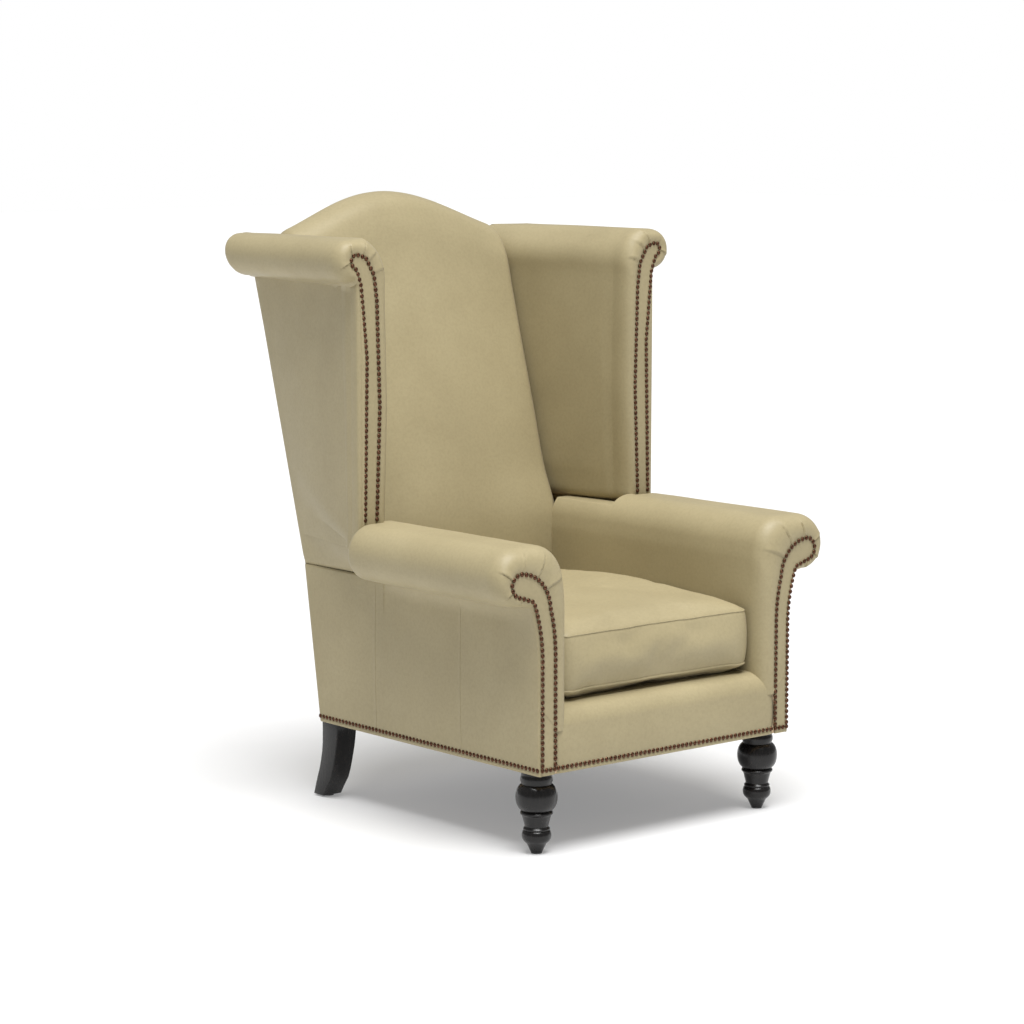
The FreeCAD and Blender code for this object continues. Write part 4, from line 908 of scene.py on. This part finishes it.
# Padded front rail
def front_rail():
    """The front rail's leather: hem, flat face, and the round over the padding to the deck."""
    half = 299.6
    radius = 42
    low = BASE_LOW
    profile = [(2.2, low), (0.6, low + 0.8), (-0.1, low + 3), (-0.1, low + 6),
               (0.9, low + 7.4), (1.1, low + 8.0), (0.1, low + 9.4)]
    for i in range(1, 12):
        share = i / 12
        profile.append((0.1 - 1.5 * arch(share), low + 9.4 + (DECK - radius - low - 9.4) * share))
    for a in range(0, 91, 6):
        angle = math.radians(a)
        profile.append((radius - radius * math.cos(angle), DECK - radius + radius * math.sin(angle)))
    profile += [(50, DECK), (58, DECK - 0.2), (64, DECK - 0.6)]
    rows = []
    for i in range(61):
        x = -half + 2 * half * i / 60
        dip = 3.2 * ease(abs(x), half - 16, half)
        rows.append([(x, y + dip + noise.noise(Vector((x / 70, y / 60, z / 60))) * 0.5, z)
                     for y, z in profile])
    panel("front_rail_leather", rows, (0, -1, 0), ("front_rail_cover", "front_edge_roll"), smooth=60)


front_rail()


# Seat cushion
CUSHION_LOW = span("cushion_cover")[0][2] + 12
CUSHION_HALF = 257
CUSHION_FRONT = span("cushion_cover")[0][1] - FRONT + 3
CUSHION_REAR = span("cushion_cover")[1][1] - FRONT
BORDER = 121
SWELL_FRAMES = 20


def seam_height(x, y):
    """Height of the top seam: it climbs from the front, stands highest by the arms, and falls behind."""
    along = (y - CUSHION_FRONT) / (CUSHION_REAR - CUSHION_FRONT)
    side = ease(abs(x), 150, CUSHION_HALF)
    front_rise = 3.5 * (1 - (x / CUSHION_HALF) ** 2) * (1 - along)
    side_rise = 21 * arch(along) ** 0.9 * side
    return CUSHION_LOW + BORDER + front_rise + side_rise


def on_circle(x, y, radius, turn):
    angle = math.radians(turn)
    return x + radius * math.cos(angle), y + radius * math.sin(angle)


def cushion_line(height):
    """The rounded rectangle of a seam, drawn in a little along its sides."""
    radius = 22
    points = []
    x1, y0, y1 = CUSHION_HALF, CUSHION_FRONT, CUSHION_REAR
    corners = [(x1 - radius, y0 + radius, -90), (x1 - radius, y1 - radius, 0),
               (-x1 + radius, y1 - radius, 90), (-x1 + radius, y0 + radius, 180)]
    for k, (cx, cy, start) in enumerate(corners):
        for turn in range(start, start + 91, 10):
            points.append(on_circle(cx, cy, radius, turn))
        nx, ny, following = corners[(k + 1) % 4]
        here, there = points[-1], on_circle(nx, ny, radius, following)
        steps = int(math.dist(here, there) / 12)
        points += [mix(here, there, s / steps) for s in range(1, steps)]
    drawn = []
    for x, y in points:
        pull_x = 3 * arch((y - y0) / (y1 - y0))
        pull_y = 2 * math.cos(math.pi * x / (2 * x1))
        px = x - math.copysign(pull_x * ease(abs(x), 100, x1), x)
        py = y + pull_y if y < (y0 + y1) / 2 else y - pull_y
        drawn.append((px, py, height(px, py)))
    return drawn


def low_seam(x, y):
    return CUSHION_LOW + 1.5 + 1.5 * ((x / CUSHION_HALF) ** 2)


def seat_cushion():
    """The box cushion: two crowned panels and a border between self-made welts."""
    top = cushion_line(seam_height)
    low = cushion_line(low_seam)
    centre_y = (CUSHION_FRONT + CUSHION_REAR) / 2
    rings = []
    crown = 17
    for share in (0.0, 0.1, 0.2, 0.3, 0.4, 0.5, 0.6, 0.7, 0.8, 0.88, 0.94, 0.975, 0.993):
        sag = 12 * (1 - share ** 9) ** 0.7
        rings.append([(x * share, centre_y + (y - centre_y) * share, z - sag) for x, y, z in low])
    for k in range(17):
        t = k / 16
        bow = 3.2 * arch(t) ** 0.8 - 1.5 * (bell(t, 0.03) + bell(1 - t, 0.03))
        ring = []
        for under, over in zip(low, top):
            x, y, z = mix(under, over, t)
            by_side, by_end = abs(x) > CUSHION_HALF - 30, abs(y - centre_y) > centre_y - CUSHION_FRONT - 30
            out = Vector((math.copysign(by_side, x), math.copysign(by_end, y - centre_y), 0))
            out = out.normalized() if out.length else out
            ring.append((x + out.x * bow, y + out.y * bow, z))
        rings.append(ring)
    for share in (0.98, 0.95, 0.9, 0.84, 0.77, 0.69, 0.6, 0.5, 0.4, 0.3, 0.2, 0.1, 0.0):
        ring = []
        for x, y, z in top:
            px, py = x * share, centre_y + (y - centre_y) * share
            rise = crown * (1 - share ** 3.2) ** 0.85
            flat = seam_height(0, centre_y) + 6
            ring.append((px, py, z + (flat - z) * (1 - share) ** 1.2 + rise))
        rings.append(ring)
    points, faces = net(rings, around=True)
    piece = make("seat_cushion_cover", points, faces)
    finish(piece, leather, 60)
    return piece, top, low


def fill_out(piece, cap):
    """Let the cover swell over its filling as cloth; cap is the longest move, in metres."""
    apply(piece, "REMESH", mode="VOXEL", voxel_size=6.6 * MM)
    before = [vertex.co.copy() for vertex in piece.data.vertices]
    cloth = piece.modifiers.new("Swell", "CLOTH")
    for name, value in (("quality", 5), ("mass", 0.4), ("use_pressure", True), ("uniform_pressure_force", 4),
                        ("tension_stiffness", 40), ("compression_stiffness", 40), ("bending_stiffness", 8)):
        setattr(cloth.settings, name, value)
    cloth.settings.effector_weights.gravity = 0
    cloth.point_cache.frame_start = 1
    cloth.point_cache.frame_end = SWELL_FRAMES
    for step in range(1, SWELL_FRAMES + 1):
        bpy.context.scene.frame_set(step)
    graph = bpy.context.evaluated_depsgraph_get()
    shape = bpy.data.meshes.new_from_object(piece.evaluated_get(graph))
    piece.modifiers.remove(cloth)
    bpy.context.scene.frame_set(1)
    for vertex, start, moved in zip(piece.data.vertices, before, shape.vertices):
        move = (moved.co - start) * 0.7
        if move.length > cap:
            move *= cap / move.length
        if abs(start.x) > (CUSHION_HALF - 6) * MM:
            move.x *= 0.25
        vertex.co = start + move
    bpy.data.meshes.remove(shape)
    apply(piece, "SMOOTH", factor=0.5, iterations=14)
    apply(piece, "SUBSURF", levels=1, render_levels=1)


def welt(name, line, tree, radius):
    """A self-made welt that follows a seam on the finished cover."""
    centre = []
    for x, y, z in line:
        found, normal, _, _ = tree.find_nearest(at(x, y, z))
        centre.append(found + normal * radius * MM * 0.25)
    count = len(centre)
    points, faces = [], []
    around = 8
    for i in range(count):
        run = (centre[(i + 1) % count] - centre[i - 1]).normalized()
        side_way = run.cross(Vector((0, 0, 1))).normalized()
        up = side_way.cross(run)
        for k in range(around):
            angle = 2 * math.pi * k / around
            points.append(centre[i] + (side_way * math.cos(angle) + up * math.sin(angle)) * radius * MM)
    for i in range(count):
        for k in range(around):
            a, b = i * around, ((i + 1) % count) * around
            faces.append((a + k, a + (k + 1) % around, b + (k + 1) % around, b + k))
    mesh = bpy.data.meshes.new(name)
    mesh.from_pydata(points, [], faces)
    return finish(place_in_scene(name, mesh), leather, 60)


cushion, top_seam, bottom_seam = seat_cushion()
fill_out(cushion, 10 * MM)
finish(cushion, leather, 60, turn_out=False)
cushion_surface = BVHTree.FromObject(cushion, bpy.context.evaluated_depsgraph_get())
top_welt = welt("cushion_top_welt", top_seam, cushion_surface, 1.7)
low_welt = welt("cushion_bottom_welt", bottom_seam, cushion_surface, 2.6)
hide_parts("cushion_cover", "cushion_core")
for piece in (cushion, top_welt, low_welt):
    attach(piece, "seat_cushion")


# Nails
NAIL_RADIUS = 4.9
NAIL_RISE = 3.3


def solids_of(node):
    return [item for item in bpy.data.objects if item.type == "MESH" and item.name.split(".")[0] == node]


def nail_places(node):
    """Where each nail of a CAD row stands and which way its head faces."""
    source = solids_of(node)[0]
    form = bmesh.new()
    form.from_mesh(source.data)
    bmesh.ops.remove_doubles(form, verts=form.verts, dist=0.00005)
    places = []
    seen = set()
    for vertex in form.verts:
        if vertex.index in seen:
            continue
        island, queue = [], [vertex]
        seen.add(vertex.index)
        while queue:
            one = queue.pop()
            island.append(one.co.copy())
            for edge in one.link_edges:
                other = edge.other_vert(one)
                if other.index not in seen:
                    seen.add(other.index)
                    queue.append(other)
        tip = min(island, key=lambda p: sum((p - q).length for q in island))
        base = [p for p in island if p is not tip]
        middle = sum(base, Vector()) / len(base)
        places.append((middle, (tip - middle).normalized()))
    form.free()
    return places


def nail_head():
    """One domed nail head, facing up, made once and copied."""
    deselect()
    bpy.ops.mesh.primitive_uv_sphere_add(segments=10, ring_count=8, radius=1.0, location=(0, 0, 0))
    head = bpy.context.active_object
    bpy.ops.object.mode_set(mode="EDIT")
    bpy.ops.mesh.select_all(action="SELECT")
    bpy.ops.mesh.bisect(plane_co=(0, 0, 0.05), plane_no=(0, 0, 1), clear_inner=True, use_fill=True)
    bpy.ops.mesh.select_all(action="SELECT")
    size = (NAIL_RADIUS * MM, NAIL_RADIUS * MM, NAIL_RISE * MM)
    bpy.ops.transform.resize(value=size, center_override=(0, 0, 0))
    bpy.ops.object.mode_set(mode="OBJECT")
    mesh = head.data
    bpy.data.objects.remove(head)
    return mesh


head_mesh = nail_head()


def nail_row(name, node):
    """A row of domed heads on the places of the row's solids, each a little turned and tipped."""
    form = bmesh.new()
    for count, (place, way) in enumerate(nail_places(node)):
        turn = way.to_track_quat("Z", "Y").to_matrix().to_4x4()
        spin = Matrix.Rotation(count * 2.4, 4, "Z")
        lean = Matrix.Rotation(0.05 * math.sin(count * 7.3), 4, "X")
        copy = head_mesh.copy()
        copy.transform(Matrix.Translation(place) @ turn @ lean @ spin)
        form.from_mesh(copy)
        bpy.data.meshes.remove(copy)
    mesh = bpy.data.meshes.new(name)
    form.to_mesh(mesh)
    form.free()
    piece = place_in_scene(name, mesh)
    mesh.materials.append(nail_metal)
    mesh.shade_smooth()
    stand_for(piece, (node,))


for label, _ in SIDES:
    nail_row(f"arm_nail_heads_{label}", f"arm_nails_{label}")
    nail_row(f"wing_nail_heads_{label}", f"wing_nails_{label}")
nail_row("base_nail_heads", "base_nails")


# Legs
LEG_TOP = 167
GLIDE = 3


def start_leg(name):
    """A square in edit mode that the leg is drawn from."""
    deselect()
    bpy.ops.mesh.primitive_plane_add(size=1.0, location=(0, 0, 0))
    leg = bpy.context.active_object
    leg.name = name
    bpy.ops.object.mode_set(mode="EDIT")
    return leg


def end_leg():
    bpy.ops.mesh.normals_make_consistent(inside=False)
    bpy.ops.object.mode_set(mode="OBJECT")


def turned_leg(label):
    """A turned leg, spun round its axis from its profile as on the lathe."""
    low, high = span(f"front_leg_{label}")
    axis_x, axis_y = (low[0] + high[0]) / 2, (low[1] + high[1]) / 2
    profile = [
        (0, GLIDE), (12, GLIDE), (13.7, 7), (15.5, 11), (17.5, 15), (19.6, 19.7), (24, 23.5), (26.4, 26.2),
        (28.6, 30.5), (29.3, 36.0), (28.8, 40.8), (27.4, 44.4), (25.4, 46.4), (26.4, 47.6), (26.6, 50.2),
        (24.6, 52.4), (23.4, 54.5), (24.6, 60), (26.4, 67), (28.5, 75), (29.6, 77.4), (32.2, 79.2),
        (32.6, 81.8), (31.4, 84.0), (29.2, 85.2), (31.6, 87.2), (36.0, 92.0), (39.6, 99), (41.3, 107),
        (41.75, 114), (41.2, 121), (39.4, 128), (36.2, 134), (32.2, 138), (30.0, 139.0), (30.4, 140.6),
        (30.6, 141.8), (31.0, 143.0), (32.3, 146.0), (32.5, 150), (31.9, 154), (30.8, 156.4), (30.5, 158.5),
        (30.5, LEG_TOP), (0, LEG_TOP)]
    leg = start_leg(f"turned_leg_{label}")
    bpy.ops.mesh.select_all(action="SELECT")
    bpy.ops.mesh.merge(type="CENTER")
    bpy.ops.mesh.select_all(action="SELECT")
    bpy.ops.transform.translate(value=(profile[0][0] * MM, 0, profile[0][1] * MM))
    for before, after in zip(profile, profile[1:]):
        bpy.ops.mesh.extrude_region_move(TRANSFORM_OT_translate={
            "value": ((after[0] - before[0]) * MM, 0, (after[1] - before[1]) * MM)})
    bpy.ops.mesh.select_all(action="SELECT")
    bpy.ops.mesh.spin(steps=48, angle=2 * math.pi, center=(0, 0, 0), axis=(0, 0, 1))
    bpy.ops.mesh.select_all(action="SELECT")
    bpy.ops.mesh.remove_doubles(threshold=0.00002)
    end_leg()
    leg.data.transform(Matrix.Translation((axis_x * MM, axis_y * MM, 0)))
    stand_for(finish(leg, black_wood, 35), (f"front_leg_{label}",))


def sabre_leg(label):
    """A rear leg that sweeps back to a small foot, with eased edges."""
    low, high = span(f"rear_leg_{label}")
    middle = (low[0] + high[0]) / 2
    # Height, back edge and front edge of each section
    sections = [(LEG_TOP, 709, 656), (145, 709, 657), (120, 709.7, 660.4), (100, 712.5, 664.9),
                (81, 716.9, 669.7), (62, 722.6, 675.2), (43, 730, 682.5), (22, 737.6, 697), (GLIDE, 744, 709)]
    leg = start_leg(f"sabre_leg_{label}")
    for k, (z, back, front) in enumerate(sections):
        width = (high[0] - low[0]) - 4 * (1 - z / LEG_TOP)
        if k:
            bpy.ops.mesh.extrude_region_move()
        form = bmesh.from_edit_mesh(leg.data)
        chosen = [vertex for vertex in form.verts if vertex.select]
        mean = sum((vertex.co for vertex in chosen), Vector()) / 4
        for vertex in chosen:
            x = middle + math.copysign(width / 2, vertex.co.x - mean.x)
            vertex.co = at(x, back if vertex.co.y > mean.y else front, z)
        bmesh.update_edit_mesh(leg.data)
    bpy.ops.mesh.select_all(action="SELECT")
    end_leg()
    apply(leg, "BEVEL", width=0.0025, segments=3, limit_method="ANGLE", angle_limit=math.radians(40))
    stand_for(finish(leg, black_wood, 40), (f"rear_leg_{label}",))


for label, _ in SIDES:
    turned_leg(label)
    sabre_leg(label)


# Finishes of the solids that stay
BOTH_SIDES = ("arm_rail", "arm_scroll_post", "back_post", "side_seat_rail", "wing_scroll_post",
              "wing_top_rail")
STAYS = {
    hardwood: ["camel_top_rail", "corner_blocks", "front_seat_rail", "lower_back_rail", "rear_seat_rail"]
    + [f"{node}_{label}" for node in BOTH_SIDES for label, _ in SIDES],
    foam: ["deck_pad"],
    canvas: ["spring_canvas"],
    jute: ["seat_webbing_front_to_back", "seat_webbing_side_to_side"],
    dust_cloth: ["dust_cover"],
    deck_cloth: ["deck_cover"],
    nylon: ["foot_glides"],
    steel: ["leg_hanger_bolts"]}
for material, nodes in STAYS.items():
    for node in nodes:
        for item in solids_of(node):
            for place in item.material_slots:
                place.material = material


# Floor, light and camera
def pale_glowing_floor():
    material, tree, shader, place = blank("glowing_pale_studio_floor")
    tint = ramp(tree, noise_at(tree, place, 3.0, 2.0), [(0.3, (0.63, 0.63, 0.63)), (0.7, (0.65, 0.65, 0.65))])
    tree.links.new(tint, shader.inputs["Base Color"])
    # Besides its pale colour the floor glows a little: painted light that lifts the shade under the chair and
    # lights the chair's undersides from below.
    for socket, value in (("Roughness", 0.6), ("Specular IOR Level", 0.2), ("Emission Color", (1, 1, 1, 1)),
                          ("Emission Strength", 0.24)):
        shader.inputs[socket].default_value = value
    deselect()
    bpy.ops.mesh.primitive_plane_add(size=60, location=(0, 0, 0))
    floor = bpy.context.active_object
    floor.name = "studio_floor"
    floor.data.materials.append(material)


def facing(way):
    return way.to_track_quat("-Z", "Y").to_euler()


def soft_box(name, position, target, size, power):
    lamp = bpy.data.lights.new(name, "AREA")
    lamp.shape = "RECTANGLE"
    lamp.size, lamp.size_y = size
    lamp.energy = power
    item = place_in_scene(name, lamp)
    item.location = position
    item.rotation_euler = facing(Vector(target) - Vector(position))


pale_glowing_floor()
world = bpy.data.worlds.new("studio_white")
world.use_nodes = True
sky = world.node_tree.nodes["Background"]
sky.inputs[0].default_value = (1, 1, 1, 1)
seen = world.node_tree.nodes.new("ShaderNodeLightPath")
level = world.node_tree.nodes.new("ShaderNodeMapRange")
level.inputs["To Min"].default_value = 0.30
level.inputs["To Max"].default_value = 1.0
world.node_tree.links.new(seen.outputs["Is Camera Ray"], level.inputs["Value"])
world.node_tree.links.new(level.outputs[0], sky.inputs[1])
bpy.context.scene.world = world
sun_lamp = bpy.data.lights.new("overhead_light", "SUN")
sun_lamp.energy = 3.9
sun_lamp.angle = math.radians(38)
place_in_scene("overhead_light", sun_lamp).rotation_euler = facing(Vector((0.12, 0.22, -0.96)))
soft_box("seat_soft_box", (-0.45, -1.3, 2.2), (0.25, 0.1, 1.0), (0.9, 0.9), 9)
bpy.context.scene.view_settings.view_transform = "Standard"

camera_data = bpy.data.cameras.new("camera")
camera_data.lens = 107.82
camera_data.sensor_width = 36
camera = place_in_scene("camera", camera_data)
camera.location = (-4.1333, -4.9051, 1.4670)
camera.rotation_euler = facing(Vector((0, 0.0035, 0.6052)) - camera.location)
bpy.context.scene.camera = camera
